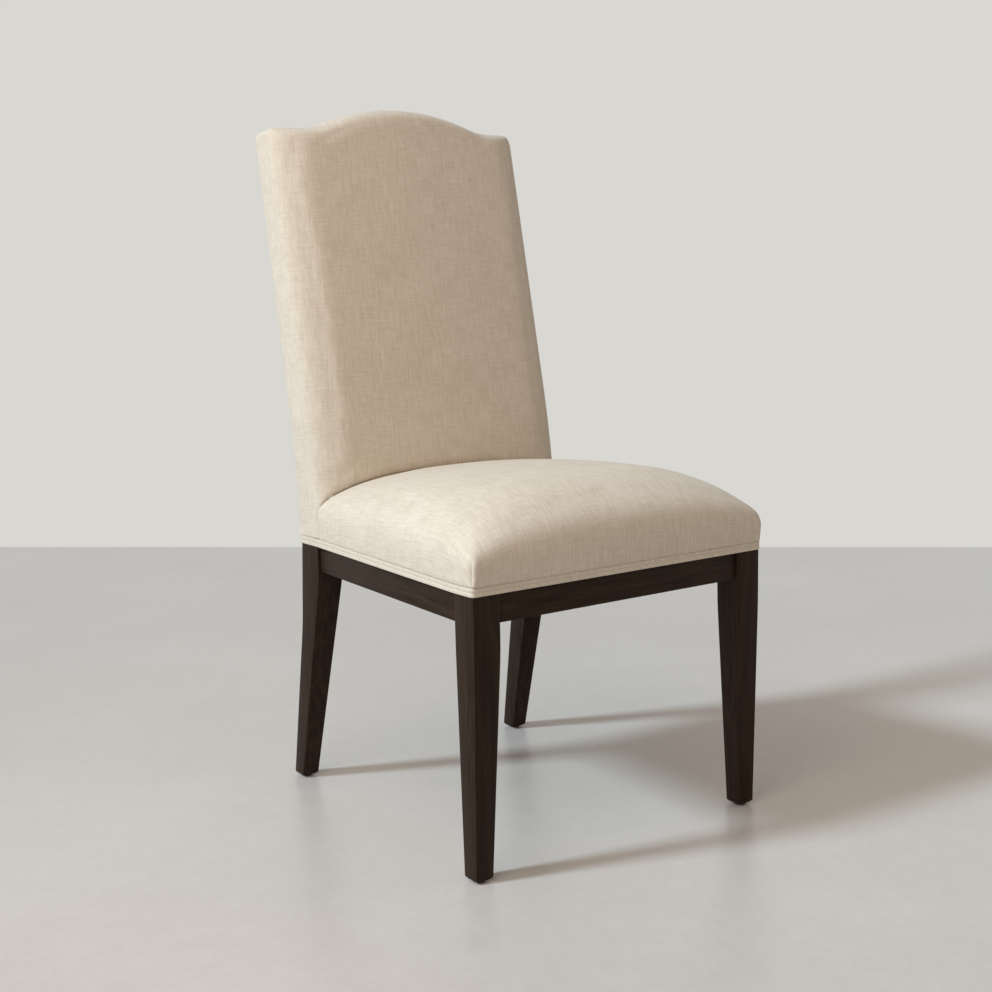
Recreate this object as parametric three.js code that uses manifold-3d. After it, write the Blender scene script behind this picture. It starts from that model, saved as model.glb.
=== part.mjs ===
// An upholstered dining chair: camelback inside back and tight crowned seat on a show-wood frame.
// Lengths are millimetres. X runs across the chair, Y from its front to its back and Z up.
// While it is built, Y is 0 at the front faces of the front legs.
import * as THREE from 'three';
import { mergeVertices } from 'three/addons/utils/BufferGeometryUtils.js';
import Module from 'manifold-3d';

const wasm = await Module();
wasm.setup();

// Seat frame
const frontWidth = 500; // over the outer faces of the front legs
const rearWidth = 442; // over the outer faces of the rear legs
const frameDepth = 500; // front faces of the front legs to rear faces of the rear legs
const frameTop = 383; // upper edge of the show wood above the floor
const railShow = 39; // height of rail that shows
const tackBand = 25; // height of frame hidden behind the fabric, above the show wood
const railThick = 22;
const railSetBack = 4.5; // rails and tacking faces behind the outer faces of the legs
const clearance = 0.3; // between pieces that touch

// Legs
const frontLegWidth = 42; // square
const frontFootWidth = 27;
const frontFootLean = 1.5; // outer side leans in by this at the foot
const frontFootBack = 9; // front face of the foot behind the front of the frame
const taperDrop = 36; // the front legs keep their full width this far below the rails
const taperSoft = 18; // half the height over which a taper starts softly
const rearLegWidth = 42;
const rearLegDepth = 48;
const rearFootWidth = 27;
const rearFootDepth = 26;
const rearFootLean = 3;
const rearFootReach = 60; // rear face of the rear foot behind the frame
const rearFaceLean = 33; // how much of it comes from an even lean that starts at the top of the show wood
const frontSweepDrop = 12; // the rear leg's front face starts to sweep back this far below the rails
const rearSweepDrop = 90; // and its rear face turns further back this far below them
const footChamfer = 3.3;

// Joinery
const tenonLength = 20;
const tenonThick = 9;
const tenonShoulder = 8; // rail left above and below a tenon
const tenonInset = 6.5; // outer face of the rail to the tenon
const blockLeg = 55; // length of a corner block along each rail
const blockMargin = 10; // rail left above and below a corner block
const screwAlong = 30; // block screws sit this far along the rails from the leg
const screwRadius = 2;
const screwHeadRadius = 4.2;
const screwHeadThick = 2.6;
const screwBite = 15; // depth of screw in the rail
const screwThrough = 14; // wood between the screw head and the rail
const screwTip = 4;
const glideRadius = 8.5;
const glideThick = 2;
const glideBevel = 0.8;
const glideNailRadius = 1.1;
const glideNailLength = 14;
const glideNailTip = 3;

// Back posts and the rails between them
const rakeDegrees = 10.2;
const bendLength = 196; // the posts bend back over this length, then run straight
const crestLength = 658; // up the rear face of the back, from the show wood to the peak of the crest
const shoulderDrop = 33; // peak of the crest to the flat shoulders
const crestRadius = 355; // convex arc of the crest
const crestFillet = 120; // concave arc that joins it to the shoulders
const crestCorner = 12; // rounding of the outer corners of the shoulders
const postLowDepth = 40; // above the tack band
const postTopDepth = 28; // at the shoulders
const postChamfer = 16; // top outer corner of a post
const postSetBack = 2; // side of the post behind the outer face of the leg, above the tack band
const backRailThick = 24;
const backRailInset = 3; // rear face of the rails between the posts, forward of the posts' rear faces
const crestRailHeight = 62; // at its ends
const lowRailStart = 57; // up the back from the show wood
const lowRailHeight = 50;

// Webbing
const webWidth = 50;
const webThick = 1.5;
const weaveGap = 0.5; // between straps where they cross
const weavePlateau = 27; // half the length of strap that lies level at a crossing
const longWebPitch = 78;
const crossWebFrontInset = 100; // middle of the first strap across the seat, behind the front
const crossWebRearInset = 115; // middle of the last one, ahead of the rear of the frame
const websEachWay = 4;
const webEndInset = 4; // end of a strap inside the outer face of its rail
const backWebGrip = 18; // length of strap on each post
const backWebShares = [0.27, 0.42, 0.57, 0.72]; // of the length up to the shoulders

// Upholstery
const coverThick = 1.5;
const seatBattingThick = 6;
const backBattingThick = 2.5;
const seatOverhang = 6.3; // fullest part of the seat outside the front legs
const seatRearOverhang = 4; // and outside the rear legs
const seatSide = 37; // seat side above the show wood, at the corners
const seatRoll = 14; // height of the roll along the top of the side
const sideRollPower = 70; // higher is a tighter roll
const frontRollPower = 36;
const seatFrontRise = 10; // the front is this much higher in its middle than at its corners
const seatCrown = 76; // crown above the roll
const crownPeak = 118; // highest line of the seat behind the front
const seatDroop = 31; // the seat falls by this from its highest line to the rear legs
const acrossPower = 2.64; // higher is flatter across the seat
const frontPower = 1.65; // higher is a tighter front edge
const backOverhang = 3; // sides of the back outside the legs
const backLowDepth = 72.5; // rear face of the posts to the front of the back, at the seat frame
const backTopDepth = 59; // and at the shoulders
const backRoll = 20; // depth of the rolled front edges
const backRollPower = 9; // higher is a tighter roll
const crestRoll = 14; // height of the roll along the crest
const outsideThick = 2.5; // panel and fabric at the rear, drawn down to the fabric alone behind the welt
const padClearance = 0.6; // back foam in front of its webbing
const foamSideGap = 0.4; // more room beside the back foam
const weltRadius = 3; // of each of the two cords in the welt
const weltReach = 2.4; // outer face of the welt outside the legs
const dustThick = 0.8;
const dustInset = 5; // dust cover inside the outer faces of the rails

// Counts of flat sides and of cells in the upholstery
const screwSides = 10;
const glideSides = 16;
const cordSteps = 5; // round half a cord of the welt
const bendSteps = 8; // up the bend of a post
const seatCells = [14, 12, 4]; // across, along and up
const frontRows = 7; // of them, along, up to the highest line of the seat
const backCells = [14, 15, 1]; // across, up and deep
const rollRows = 3; // of them, up, in the roll along the crest
const skirtRows = 2; // and below the pads' lower edge
const sideMidShare = 0.45; // middle level of the seat's side, from the pads' lower edge to its top

const wood = { color: 0x33261f, roughness: 0.42, metalness: 0 };
const bareWood = { color: 0xb9976b, roughness: 0.75, metalness: 0 };
const linen = { color: 0xddd2c0, roughness: 0.95, metalness: 0 };
const foam = { color: 0xe7dfb0, roughness: 0.9, metalness: 0 };
const batting = { color: 0xf3f2ee, roughness: 1, metalness: 0 };
const webbing = { color: 0x6d5a43, roughness: 0.85, metalness: 0 };
const cambric = { color: 0x161616, roughness: 0.95, metalness: 0 };
const steel = { color: 0xb4b2aa, roughness: 0.35, metalness: 1 };
const nylon = { color: 0x2a2a2a, roughness: 0.5, metalness: 0 };

// Places worked out from the sizes
const railTop = frameTop + tackBand;
const railLow = frameTop - railShow;
const rearLegFront = frameDepth - rearLegDepth;
const rake = THREE.MathUtils.degToRad(rakeDegrees);
const shoulderLength = crestLength - shoulderDrop;
const weaveLift = (webThick + weaveGap) / 2;
const webTop = railTop + clearance + webThick + weaveLift;
const padLow = webTop + clearance;
const weltTop = frameTop + clearance + 4 * weltRadius;
const tuck = clearance + coverThick - railSetBack; // cover drawn in behind the welt
const footBottom = glideThick + clearance;
const backHalf = rearWidth / 2 + backOverhang;
const padLowLength = padLow - frameTop;
const weltLength = weltTop - frameTop;

const chair = new THREE.Group();

function add(name, geometry, finish, smooth = false) {
  const mesh = new THREE.Mesh(geometry, new THREE.MeshStandardMaterial({ ...finish, flatShading: !smooth }));
  mesh.name = name;
  chair.add(mesh);
  return mesh;
}

// Mesh helpers

function fromTriangles(points, triangles) {
  const geometry = new THREE.BufferGeometry();
  geometry.setAttribute('position', new THREE.Float32BufferAttribute(points.flat(), 3));
  geometry.setIndex(triangles.flat());
  return facingOut(geometry);
}

// Turns every face round if the mesh is inside out.
function facingOut(geometry) {
  const position = geometry.getAttribute('position');
  const index = geometry.getIndex();
  const corner = [new THREE.Vector3(), new THREE.Vector3(), new THREE.Vector3()];
  let volume = 0;
  for (let first = 0; first < index.count; first += 3) {
    corner.forEach((point, offset) => point.fromBufferAttribute(position, index.getX(first + offset)));
    volume += corner[0].dot(corner[1].cross(corner[2]));
  }
  if (volume < 0) index.array.reverse();
  geometry.computeVertexNormals();
  return geometry;
}

function welded(geometry) {
  geometry.deleteAttribute('normal');
  geometry.deleteAttribute('uv');
  return facingOut(mergeVertices(geometry));
}

function solid(geometry) {
  return new wasm.Manifold(new wasm.Mesh({
    numProp: 3,
    vertProperties: geometry.getAttribute('position').array,
    triVerts: new Uint32Array(geometry.getIndex().array),
  }));
}

function cut(geometry, tools) {
  const body = tools.reduce((left, tool) => left.subtract(solid(tool)), solid(geometry));
  return fromSolid(body);
}

function join(geometry, others) {
  const body = others.reduce((whole, other) => whole.add(solid(other)), solid(geometry));
  return fromSolid(body);
}

function fromSolid(body) {
  const { vertProperties, triVerts } = body.getMesh();
  const geometry = new THREE.BufferGeometry();
  geometry.setAttribute('position', new THREE.BufferAttribute(vertProperties, 3));
  geometry.setIndex(new THREE.BufferAttribute(triVerts, 1));
  geometry.computeVertexNormals();
  return geometry;
}

// Place of a column of cells across the chair, from -1 to 1, closer together towards the edges.
function columnShare(column, count) {
  return Math.sin(Math.PI / 2 * (2 * column / count - 1));
}

// A skin through rings of points, with a flat cap on each end.
function loft(rings) {
  const count = rings[0].length;
  const triangles = [];
  for (let ring = 0; ring < rings.length - 1; ring++) {
    for (let side = 0; side < count; side++) {
      const a = ring * count + side;
      const b = ring * count + (side + 1) % count;
      triangles.push([a, b, b + count], [a, b + count, a + count]);
    }
  }
  const caps = THREE.ShapeUtils.triangulateShape(flatRing(rings[0]), []);
  const last = (rings.length - 1) * count;
  caps.forEach(([a, b, c]) => triangles.push([c, b, a], [a + last, b + last, c + last]));
  return fromTriangles(rings.flat(), triangles);
}

// The points of a ring on its own plane, in the same order.
function flatRing(ring) {
  const points = ring.map((point) => new THREE.Vector3(...point));
  const normal = new THREE.Vector3();
  points.forEach((point, index) => {
    const next = points[(index + 1) % points.length];
    normal.add(point.clone().sub(points[0]).cross(next.clone().sub(points[0])));
  });
  const along = points[1].clone().sub(points[0]).normalize();
  const beside = normal.normalize().clone().cross(along);
  return points.map((point) => new THREE.Vector2(point.dot(along), point.dot(beside)));
}

// A level plate with the given outline, from one height to another.
function plate(outline, low, high) {
  const shape = new THREE.Shape(outline.map(([x, y]) => new THREE.Vector2(x, y)));
  const geometry = new THREE.ExtrudeGeometry(shape, { depth: high - low, bevelEnabled: false });
  return welded(geometry.translate(0, 0, low));
}

function block(xLow, xHigh, yLow, yHigh, zLow, zHigh, rows = 1) {
  const geometry = new THREE.BoxGeometry(xHigh - xLow, yHigh - yLow, zHigh - zLow, 1, rows, 1);
  return welded(geometry.translate((xLow + xHigh) / 2, (yLow + yHigh) / 2, (zLow + zHigh) / 2));
}

// The outer skin of a block of cells, as grid corners. Faces named in open are left out, and so are
// the lowest rows of the far face, as many as skirt says.
function gridSkin(counts, open, skirt) {
  const quads = [];
  for (let axis = 0; axis < 3; axis++) {
    const across = (axis + 1) % 3;
    const along = (axis + 2) % 3;
    for (const side of ['-', '+']) {
      if (open.includes(side + 'xyz'[axis])) continue;
      for (let p = 0; p < counts[across]; p++) {
        for (let q = side === '+' && axis === 2 ? skirt : 0; q < counts[along]; q++) {
          const quad = [[p, q], [p + 1, q], [p + 1, q + 1], [p, q + 1]].map(([u, v]) => {
            const corner = [0, 0, 0];
            corner[axis] = side === '+' ? counts[axis] : 0;
            corner[across] = u;
            corner[along] = v;
            return corner.join();
          });
          quads.push(side === '+' ? quad : quad.reverse());
        }
      }
    }
  }
  return quads;
}

// A closed solid over a block of cells, or a shell with an inner skin where some faces are open.
function padded(counts, outer, inner, open = [], skirt = 0) {
  const quads = gridSkin(counts, open, skirt);
  const order = new Map();
  quads.flat().forEach((key) => order.has(key) || order.set(key, order.size));
  const corners = [...order.keys()].map((key) => key.split(',').map(Number));
  const points = corners.map((corner) => outer(...corner));
  const numbered = quads.map((quad) => quad.map((key) => order.get(key)));
  const faces = [...numbered];
  if (inner) {
    points.push(...corners.map((corner) => inner(...corner)));
    const shift = order.size;
    const edges = new Set(numbered.flatMap((quad) => quad.map((a, n) => `${a},${quad[(n + 1) % 4]}`)));
    for (const quad of numbered) {
      faces.push([quad[0], quad[3], quad[2], quad[1]].map((a) => a + shift));
      quad.forEach((a, n) => {
        const b = quad[(n + 1) % 4];
        if (!edges.has(`${b},${a}`)) faces.push([b, a, a + shift, b + shift]);
      });
    }
  }
  return fromTriangles(points, faces.flatMap(([a, b, c, d]) => [[a, b, c], [a, c, d]]));
}

function lathe(profile, sides) {
  return welded(new THREE.LatheGeometry(profile.map(([r, y]) => new THREE.Vector2(r, y)), sides));
}

// Puts a piece that was turned about its own +Y axis at a point, with that axis along a direction.
function aim(point, direction) {
  const turn = new THREE.Quaternion().setFromUnitVectors(
    new THREE.Vector3(0, 1, 0), new THREE.Vector3(...direction).normalize());
  return new THREE.Matrix4().compose(new THREE.Vector3(...point), turn, new THREE.Vector3(1, 1, 1));
}

// Zero below, a straight slope above, and a parabola between.
function softStart(distance, soft) {
  if (distance <= -soft) return 0;
  if (distance >= soft) return distance;
  return (distance + soft) ** 2 / (4 * soft);
}

// The line of the outer faces of the legs on one side, out from the middle of the chair.
function sideLine(y) {
  const share = THREE.MathUtils.clamp((y - frontLegWidth) / (rearLegFront - frontLegWidth), 0, 1);
  return THREE.MathUtils.lerp(frontWidth, rearWidth, share) / 2;
}

// The back follows the rear faces of its posts: a length up that line and a depth forward of it
// give a place on the chair. Below the show wood the line is plumb.
function onBack(x, length, depth) {
  const angle = rake * THREE.MathUtils.clamp(length / bendLength, 0, 1);
  const radius = bendLength / rake;
  const straight = Math.max(0, length - bendLength);
  return [
    x,
    frameDepth + radius * (1 - Math.cos(angle)) + straight * Math.sin(rake) - depth * Math.cos(angle),
    frameTop + radius * Math.sin(angle) + straight * Math.cos(rake) + Math.min(0, length)
      + depth * Math.sin(angle),
  ];
}

function alongBack(geometry) {
  const position = geometry.getAttribute('position');
  for (let index = 0; index < position.count; index++) {
    const place = onBack(position.getX(index), position.getY(index), position.getZ(index));
    position.setXYZ(index, ...place);
  }
  geometry.computeVertexNormals();
  return geometry;
}

// Depth of a back post at a length up the back.
function postDepth(length) {
  return THREE.MathUtils.lerp(postLowDepth, postTopDepth, length / shoulderLength);
}

// The camelback line on a back of the given half width: an arc, a fillet, a flat shoulder and a
// rounded corner.
function crestLine(x, half) {
  const reach = Math.sqrt((crestRadius + crestFillet) ** 2 - (crestRadius + crestFillet - shoulderDrop) ** 2);
  const away = Math.min(Math.abs(x), half);
  const turned = Math.max(0, away - half + crestCorner);
  if (away >= reach) return shoulderLength - crestCorner + Math.sqrt(crestCorner ** 2 - turned ** 2);
  if (away >= reach * crestRadius / (crestRadius + crestFillet)) {
    return shoulderLength + crestFillet - Math.sqrt(crestFillet ** 2 - (reach - away) ** 2);
  }
  return crestLength - crestRadius + Math.sqrt(crestRadius ** 2 - away ** 2);
}

// Seat frame

// Outline of a strip of side rail or of its tenon, between two distances inside the side line.
function sideStrip(side, outer, inner, yStart, yEnd) {
  return [[outer, yStart], [outer, yEnd], [inner, yEnd], [inner, yStart]]
    .map(([inside, y]) => [side * (sideLine(y) - inside), y]);
}

function tenonHeights(grow) {
  return [railLow + tenonShoulder - grow, railTop - tenonShoulder + grow];
}

function sideTenon(side, grow) {
  const outer = railSetBack + tenonInset;
  const reach = tenonLength + grow;
  const outline = sideStrip(
    side, outer - grow, outer + tenonThick + grow, frontLegWidth - reach, rearLegFront + reach);
  return plate(outline, ...tenonHeights(grow));
}

function sideRail(side) {
  const outline = sideStrip(
    side, railSetBack, railSetBack + railThick, frontLegWidth + clearance, rearLegFront - clearance);
  return join(plate(outline, railLow, railTop), [sideTenon(side, 0)]);
}

function crossTenon(halfLength, faceY, inward, grow) {
  const near = faceY + inward * (tenonInset - grow);
  const far = faceY + inward * (tenonInset + tenonThick + grow);
  const reach = halfLength + tenonLength + grow;
  return block(-reach, reach, Math.min(near, far), Math.max(near, far), ...tenonHeights(grow));
}

// A rail between two legs, with its outer face at faceY and its thickness towards the seat.
function crossRail(halfLength, faceY, inward) {
  const far = faceY + inward * railThick;
  const end = halfLength - clearance;
  const body = block(-end, end, Math.min(faceY, far), Math.max(faceY, far), railLow, railTop);
  return join(body, [crossTenon(halfLength, faceY, inward, 0)]);
}

const frontRailHalf = frontWidth / 2 - frontLegWidth;
const rearRailHalf = rearWidth / 2 - rearLegWidth;
const rearRailFace = frameDepth - railSetBack;

add('front_rail', crossRail(frontRailHalf, railSetBack, 1), wood);
add('rear_rail', crossRail(rearRailHalf, rearRailFace, -1), wood);
add('side_rail_left', sideRail(-1), wood);
add('side_rail_right', sideRail(1), wood);

// Corner blocks and their screws

// A block sits in a corner behind the leg: towardY points from the leg to the middle of the seat.
function blockOutline(side, legX, legY, railFaceY, towardY) {
  const inX = legX - clearance;
  const inY = legY + towardY * clearance;
  const endY = legY + towardY * blockLeg;
  const railInside = railSetBack + railThick + clearance;
  return [
    [inX, railFaceY + towardY * clearance],
    [inX, inY],
    [sideLine(inY) - railInside, inY],
    [sideLine(endY) - railInside, endY],
    [legX - blockLeg, railFaceY + towardY * clearance],
  ].map(([x, y]) => [side * x, y]);
}

// Where the two screws of a block enter the rails, and which way they run.
function blockScrews(side, legX, legY, railFaceY, towardY) {
  const y = legY + towardY * screwAlong;
  const height = (railLow + railTop) / 2;
  return [
    { name: 'end', at: [side * (legX - screwAlong), railFaceY, height], run: [0, -towardY, 0] },
    { name: 'side', at: [side * (sideLine(y) - railSetBack - railThick), y, height], run: [side, 0, 0] },
  ];
}

// A round stick along +Y, from one length to another.
function stick(radius, start, end) {
  return lathe([[0, start], [radius, start], [radius, end], [0, end]], screwSides);
}

function screw() {
  const tip = screwThrough + screwBite;
  const headTop = -screwHeadThick;
  return lathe([
    [0, headTop], [screwHeadRadius / 2, headTop], [screwHeadRadius, headTop / 2], [screwHeadRadius, 0],
    [screwRadius, 0], [screwRadius, tip - screwTip], [0, tip],
  ], screwSides);
}

// The hole for a screw: clearance round the shank, and room for the head and the driver.
function screwHole() {
  const shank = stick(screwRadius + clearance, -clearance, screwThrough + screwBite + clearance);
  return join(shank, [stick(screwHeadRadius + clearance, -blockLeg, clearance)]);
}

function headPlace({ at, run }) {
  return at.map((value, axis) => value - run[axis] * screwThrough);
}

const frontRailInside = railSetBack + railThick;
const rearRailInside = rearRailFace - railThick;
const blockHeights = [railLow + blockMargin, railTop - blockMargin];
const corners = [];
for (const [hand, side] of [['left', -1], ['right', 1]]) {
  corners.push({ name: `front_${hand}`, fit: [side, frontRailHalf, frontLegWidth, frontRailInside, 1] });
  corners.push({ name: `rear_${hand}`, fit: [side, rearRailHalf, rearLegFront, rearRailInside, -1] });
}

const screwHoles = [];
for (const { name, fit } of corners) {
  const holes = blockScrews(...fit).map((place) => {
    const pose = aim(headPlace(place), place.run);
    add(`block_screw_${name}_${place.name}`, screw(), steel).applyMatrix4(pose);
    return screwHole().applyMatrix4(pose);
  });
  screwHoles.push(...holes);
  add(`corner_block_${name}`, cut(plate(blockOutline(...fit), ...blockHeights), holes), bareWood);
}
for (const name of ['front_rail', 'rear_rail', 'side_rail_left', 'side_rail_right']) {
  const rail = chair.getObjectByName(name);
  rail.geometry = cut(rail.geometry, screwHoles);
}

// Legs

// Glides: a thin disc with a nail up into the foot.
function glide() {
  const tip = glideThick + glideNailLength;
  return lathe([
    [0, 0], [glideRadius - glideBevel, 0], [glideRadius, glideBevel], [glideRadius, glideThick],
    [glideNailRadius, glideThick], [glideNailRadius, tip - glideNailTip], [0, tip],
  ], glideSides);
}

function glideHole(x, y) {
  const end = glideThick + glideNailLength + clearance;
  return stick(glideNailRadius + clearance, 0, end).applyMatrix4(aim([x, y, 0], [0, 0, 1]));
}

// A level section of a leg: x and y ranges at one height. The side gives which leg it is.
function section(side, xInner, xOuter, yFront, yRear, z) {
  return [[xInner, yFront], [xOuter, yFront], [xOuter, yRear], [xInner, yRear]]
    .map(([x, y]) => [side * x, y, z]);
}

function frontLeg(side) {
  const outer = frontWidth / 2;
  const taperTop = railLow - taperDrop;
  const narrowed = frontLegWidth - frontFootWidth;
  const ring = (z, shrink = 0) => {
    const lean = frontFootLean * (1 - z / frameTop);
    const taper = softStart(taperTop - z, taperSoft) / taperTop;
    const inner = outer - frontLegWidth + (narrowed - frontFootLean) * taper;
    const front = frontFootBack * taper;
    const rear = frontLegWidth - (narrowed - frontFootBack) * taper;
    return section(side, inner + shrink, outer - lean - shrink, front + shrink, rear - shrink, z);
  };
  const tacked = (z) => section(
    side, outer - frontLegWidth, outer - railSetBack, railSetBack, frontLegWidth, z);
  const rings = [
    ring(footBottom, footChamfer), ring(footBottom + footChamfer), ring(taperTop - taperSoft),
    ring(taperTop), ring(taperTop + taperSoft), ring(frameTop), tacked(frameTop), tacked(railTop),
  ];
  const sideMortise = sideTenon(side, clearance);
  const frontMortise = crossTenon(frontRailHalf, railSetBack, 1, clearance);
  return cut(loft(rings), [sideMortise, frontMortise, glideHole(...frontFoot(side))]);
}

function frontFoot(side) {
  const middle = frontFootWidth / 2;
  return [side * (frontWidth / 2 - frontFootLean - middle), frontFootBack + middle];
}

function rearFoot(side) {
  return [
    side * (rearWidth / 2 - rearFootLean - rearFootWidth / 2),
    frameDepth + rearFootReach - rearFootDepth / 2,
  ];
}

// A tenoned rail between the posts, in lengths up the back and depths forward of its rear line.
function backRailTenon(halfLength, start, end, grow) {
  const low = backRailInset + (backRailThick - tenonThick) / 2 - grow;
  const reach = halfLength + tenonLength + grow;
  return alongBack(block(-reach, reach, start + tenonShoulder - grow, end - tenonShoulder + grow,
    low, low + tenonThick + 2 * grow));
}

const crestRailEnd = shoulderLength - coverThick - backBattingThick - 3 * clearance;
const crestRailStart = crestRailEnd - crestRailHeight;
const backRailSpans = [[lowRailStart, lowRailStart + lowRailHeight], [crestRailStart, crestRailEnd]];

// Rear leg and back post in one piece.
function rearLeg(side) {
  const outer = rearWidth / 2;
  const inner = outer - rearLegWidth;
  const footFront = frameDepth + rearFootReach - rearFootDepth;
  const sweep = (z, drop, reach) => {
    const start = railLow - drop;
    return reach * softStart(start - z, taperSoft) / start;
  };
  const ring = (z, shrink = 0) => {
    const lean = rearFootLean * (1 - z / frameTop);
    const taper = sweep(z, 0, rearLegWidth - rearFootWidth - rearFootLean);
    const front = rearLegFront + sweep(z, frontSweepDrop, footFront - rearLegFront);
    const rear = frameDepth + rearFaceLean * (1 - z / frameTop)
      + sweep(z, rearSweepDrop, rearFootReach - rearFaceLean);
    return section(side, inner + taper + shrink, outer - lean - shrink, front + shrink, rear - shrink, z);
  };
  const tacked = (z) => section(
    side, inner, outer - railSetBack, rearLegFront, frameDepth - railSetBack, z);
  const post = (length, chamfer = 0) => {
    const outside = outer - postSetBack - chamfer;
    return [[inner, postDepth(length)], [outside, postDepth(length)], [outside, 0], [inner, 0]]
      .map(([x, depth]) => onBack(side * x, length, depth));
  };
  const sweepHeights = [rearSweepDrop, frontSweepDrop, 0]
    .flatMap((drop) => [-taperSoft, 0, taperSoft].map((soft) => railLow - drop + soft))
    .sort((a, b) => a - b);
  const posts = [];
  for (let step = 0; step <= bendSteps; step++) {
    posts.push(THREE.MathUtils.lerp(padLowLength, bendLength, step / bendSteps));
  }
  const rings = [
    ring(footBottom, footChamfer), ring(footBottom + footChamfer), ...sweepHeights.map((z) => ring(z)),
    ring(frameTop), tacked(frameTop), tacked(padLow), ...posts.map((length) => post(length)),
    post(crestRailEnd - postChamfer), post(crestRailEnd, postChamfer),
  ];
  const mortises = backRailSpans.map(([start, end]) => backRailTenon(rearRailHalf, start, end, clearance));
  mortises.push(sideTenon(side, clearance), crossTenon(rearRailHalf, rearRailFace, -1, clearance));
  return cut(loft(rings), [...mortises, glideHole(...rearFoot(side))]);
}

for (const [hand, side] of [['left', -1], ['right', 1]]) {
  add(`front_leg_${hand}`, frontLeg(side), wood);
  add(`rear_leg_${hand}`, rearLeg(side), wood);
  for (const [end, [x, y]] of [['front', frontFoot(side)], ['rear', rearFoot(side)]]) {
    add(`glide_${end}_${hand}`, glide(), nylon).applyMatrix4(aim([x, y, 0], [0, 0, 1]));
  }
}

// Rails between the posts

function lowerBackRail() {
  const [start, end] = backRailSpans[0];
  const half = rearRailHalf - clearance;
  const body = alongBack(block(-half, half, start, end, backRailInset, backRailInset + backRailThick));
  return join(body, [backRailTenon(rearRailHalf, start, end, 0)]);
}

function crestRail() {
  const [start, end] = backRailSpans[1];
  const half = rearRailHalf - clearance;
  const line = (x) => crestLine(x, backHalf) - shoulderLength + end;
  const outline = [[-half, start], [half, start], [half, line(half)]];
  for (let column = backCells[0]; column >= 0; column--) {
    const x = backHalf * columnShare(column, backCells[0]);
    if (Math.abs(x) < half) outline.push([x, line(x)]);
  }
  outline.push([-half, line(half)]);
  const board = plate(outline, backRailInset, backRailInset + backRailThick);
  return join(alongBack(board), [backRailTenon(rearRailHalf, start, end, 0)]);
}

add('lower_back_rail', lowerBackRail(), bareWood);
add('crest_rail', crestRail(), bareWood);

// Webbing

// A strap drawn in length and height and given its width: level on the rails, and up or down at
// each crossing.
function strap(start, end, crossings, firstUp) {
  const rest = railTop + clearance + webThick / 2;
  const ramp = longWebPitch - 2 * weavePlateau;
  const path = [[start, rest], [crossings[0] - weavePlateau - ramp, rest]];
  crossings.forEach((middle, index) => {
    const height = rest + ((index % 2 === 0) === firstUp ? weaveLift : -weaveLift);
    path.push([middle - weavePlateau, height], [middle + weavePlateau, height]);
  });
  path.push([crossings.at(-1) + weavePlateau + ramp, rest], [end, rest]);
  const above = path.map(([along, height]) => new THREE.Vector2(along, height + webThick / 2));
  const below = path.map(([along, height]) => new THREE.Vector2(along, height - webThick / 2));
  const shape = new THREE.Shape([...below, ...above.reverse()]);
  return new THREE.ExtrudeGeometry(shape, { depth: webWidth, bevelEnabled: false });
}

const longPlaces = [];
const crossPlaces = [];
for (let index = 0; index < websEachWay; index++) {
  longPlaces.push((index - (websEachWay - 1) / 2) * longWebPitch);
  crossPlaces.push(THREE.MathUtils.lerp(
    crossWebFrontInset, frameDepth - crossWebRearInset, index / (websEachWay - 1)));
}
const xAxis = new THREE.Vector3(1, 0, 0);
const yAxis = new THREE.Vector3(0, 1, 0);
const zAxis = new THREE.Vector3(0, 0, 1);
longPlaces.forEach((x, index) => {
  const geometry = strap(railSetBack + webEndInset, rearRailFace - webEndInset, crossPlaces, index % 2 === 0);
  geometry.applyMatrix4(new THREE.Matrix4().makeBasis(yAxis, zAxis, xAxis));
  add(`seat_web_long_${index + 1}`, welded(geometry.translate(x - webWidth / 2, 0, 0)), webbing);
});
crossPlaces.forEach((y, index) => {
  const end = sideLine(y + webWidth / 2) - railSetBack - webEndInset;
  const geometry = strap(-end, end, longPlaces, index % 2 === 1);
  geometry.applyMatrix4(new THREE.Matrix4().makeBasis(xAxis, zAxis, yAxis.clone().negate()));
  add(`seat_web_cross_${index + 1}`, welded(geometry.translate(0, y + webWidth / 2, 0)), webbing);
});

backWebShares.forEach((share, index) => {
  const middle = shoulderLength * share;
  const half = rearRailHalf + backWebGrip;
  const geometry = block(-half, half, middle - webWidth / 2, middle + webWidth / 2, 0, webThick, 2);
  const position = geometry.getAttribute('position');
  for (let point = 0; point < position.count; point++) {
    position.setZ(point, position.getZ(point) + postDepth(position.getY(point)) + clearance);
  }
  add(`back_web_${index + 1}`, alongBack(geometry), webbing);
});

// Seat upholstery

const seatEdge = frameTop + seatSide;

function overhangAt(y, z) {
  const behind = THREE.MathUtils.clamp((y - frontLegWidth) / (rearLegFront - frontLegWidth), 0, 1);
  const full = THREE.MathUtils.lerp(seatOverhang, seatRearOverhang, behind);
  const share = THREE.MathUtils.clamp((z - weltTop) / (seatEdge - weltTop), 0, 1);
  return THREE.MathUtils.lerp(tuck, full, 1 - (1 - share) ** 3);
}

// Rise of the seat over the top of its side. Across runs from -1 to 1, ahead from 0 at the highest
// line to 1 at the front, and behind from 0 there to 1 at the rear legs.
function crownAt(across, ahead, behind) {
  const roll = seatRoll * Math.sqrt(1 - Math.max(Math.abs(across) ** sideRollPower, ahead ** frontRollPower));
  const front = seatFrontRise * (1 - across ** 2) * ahead ** 4;
  const along = Math.sqrt(1 - ahead ** frontPower) * (seatCrown - seatDroop * behind ** 2);
  return roll + front + along * Math.sqrt(1 - Math.abs(across) ** acrossPower);
}

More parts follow.
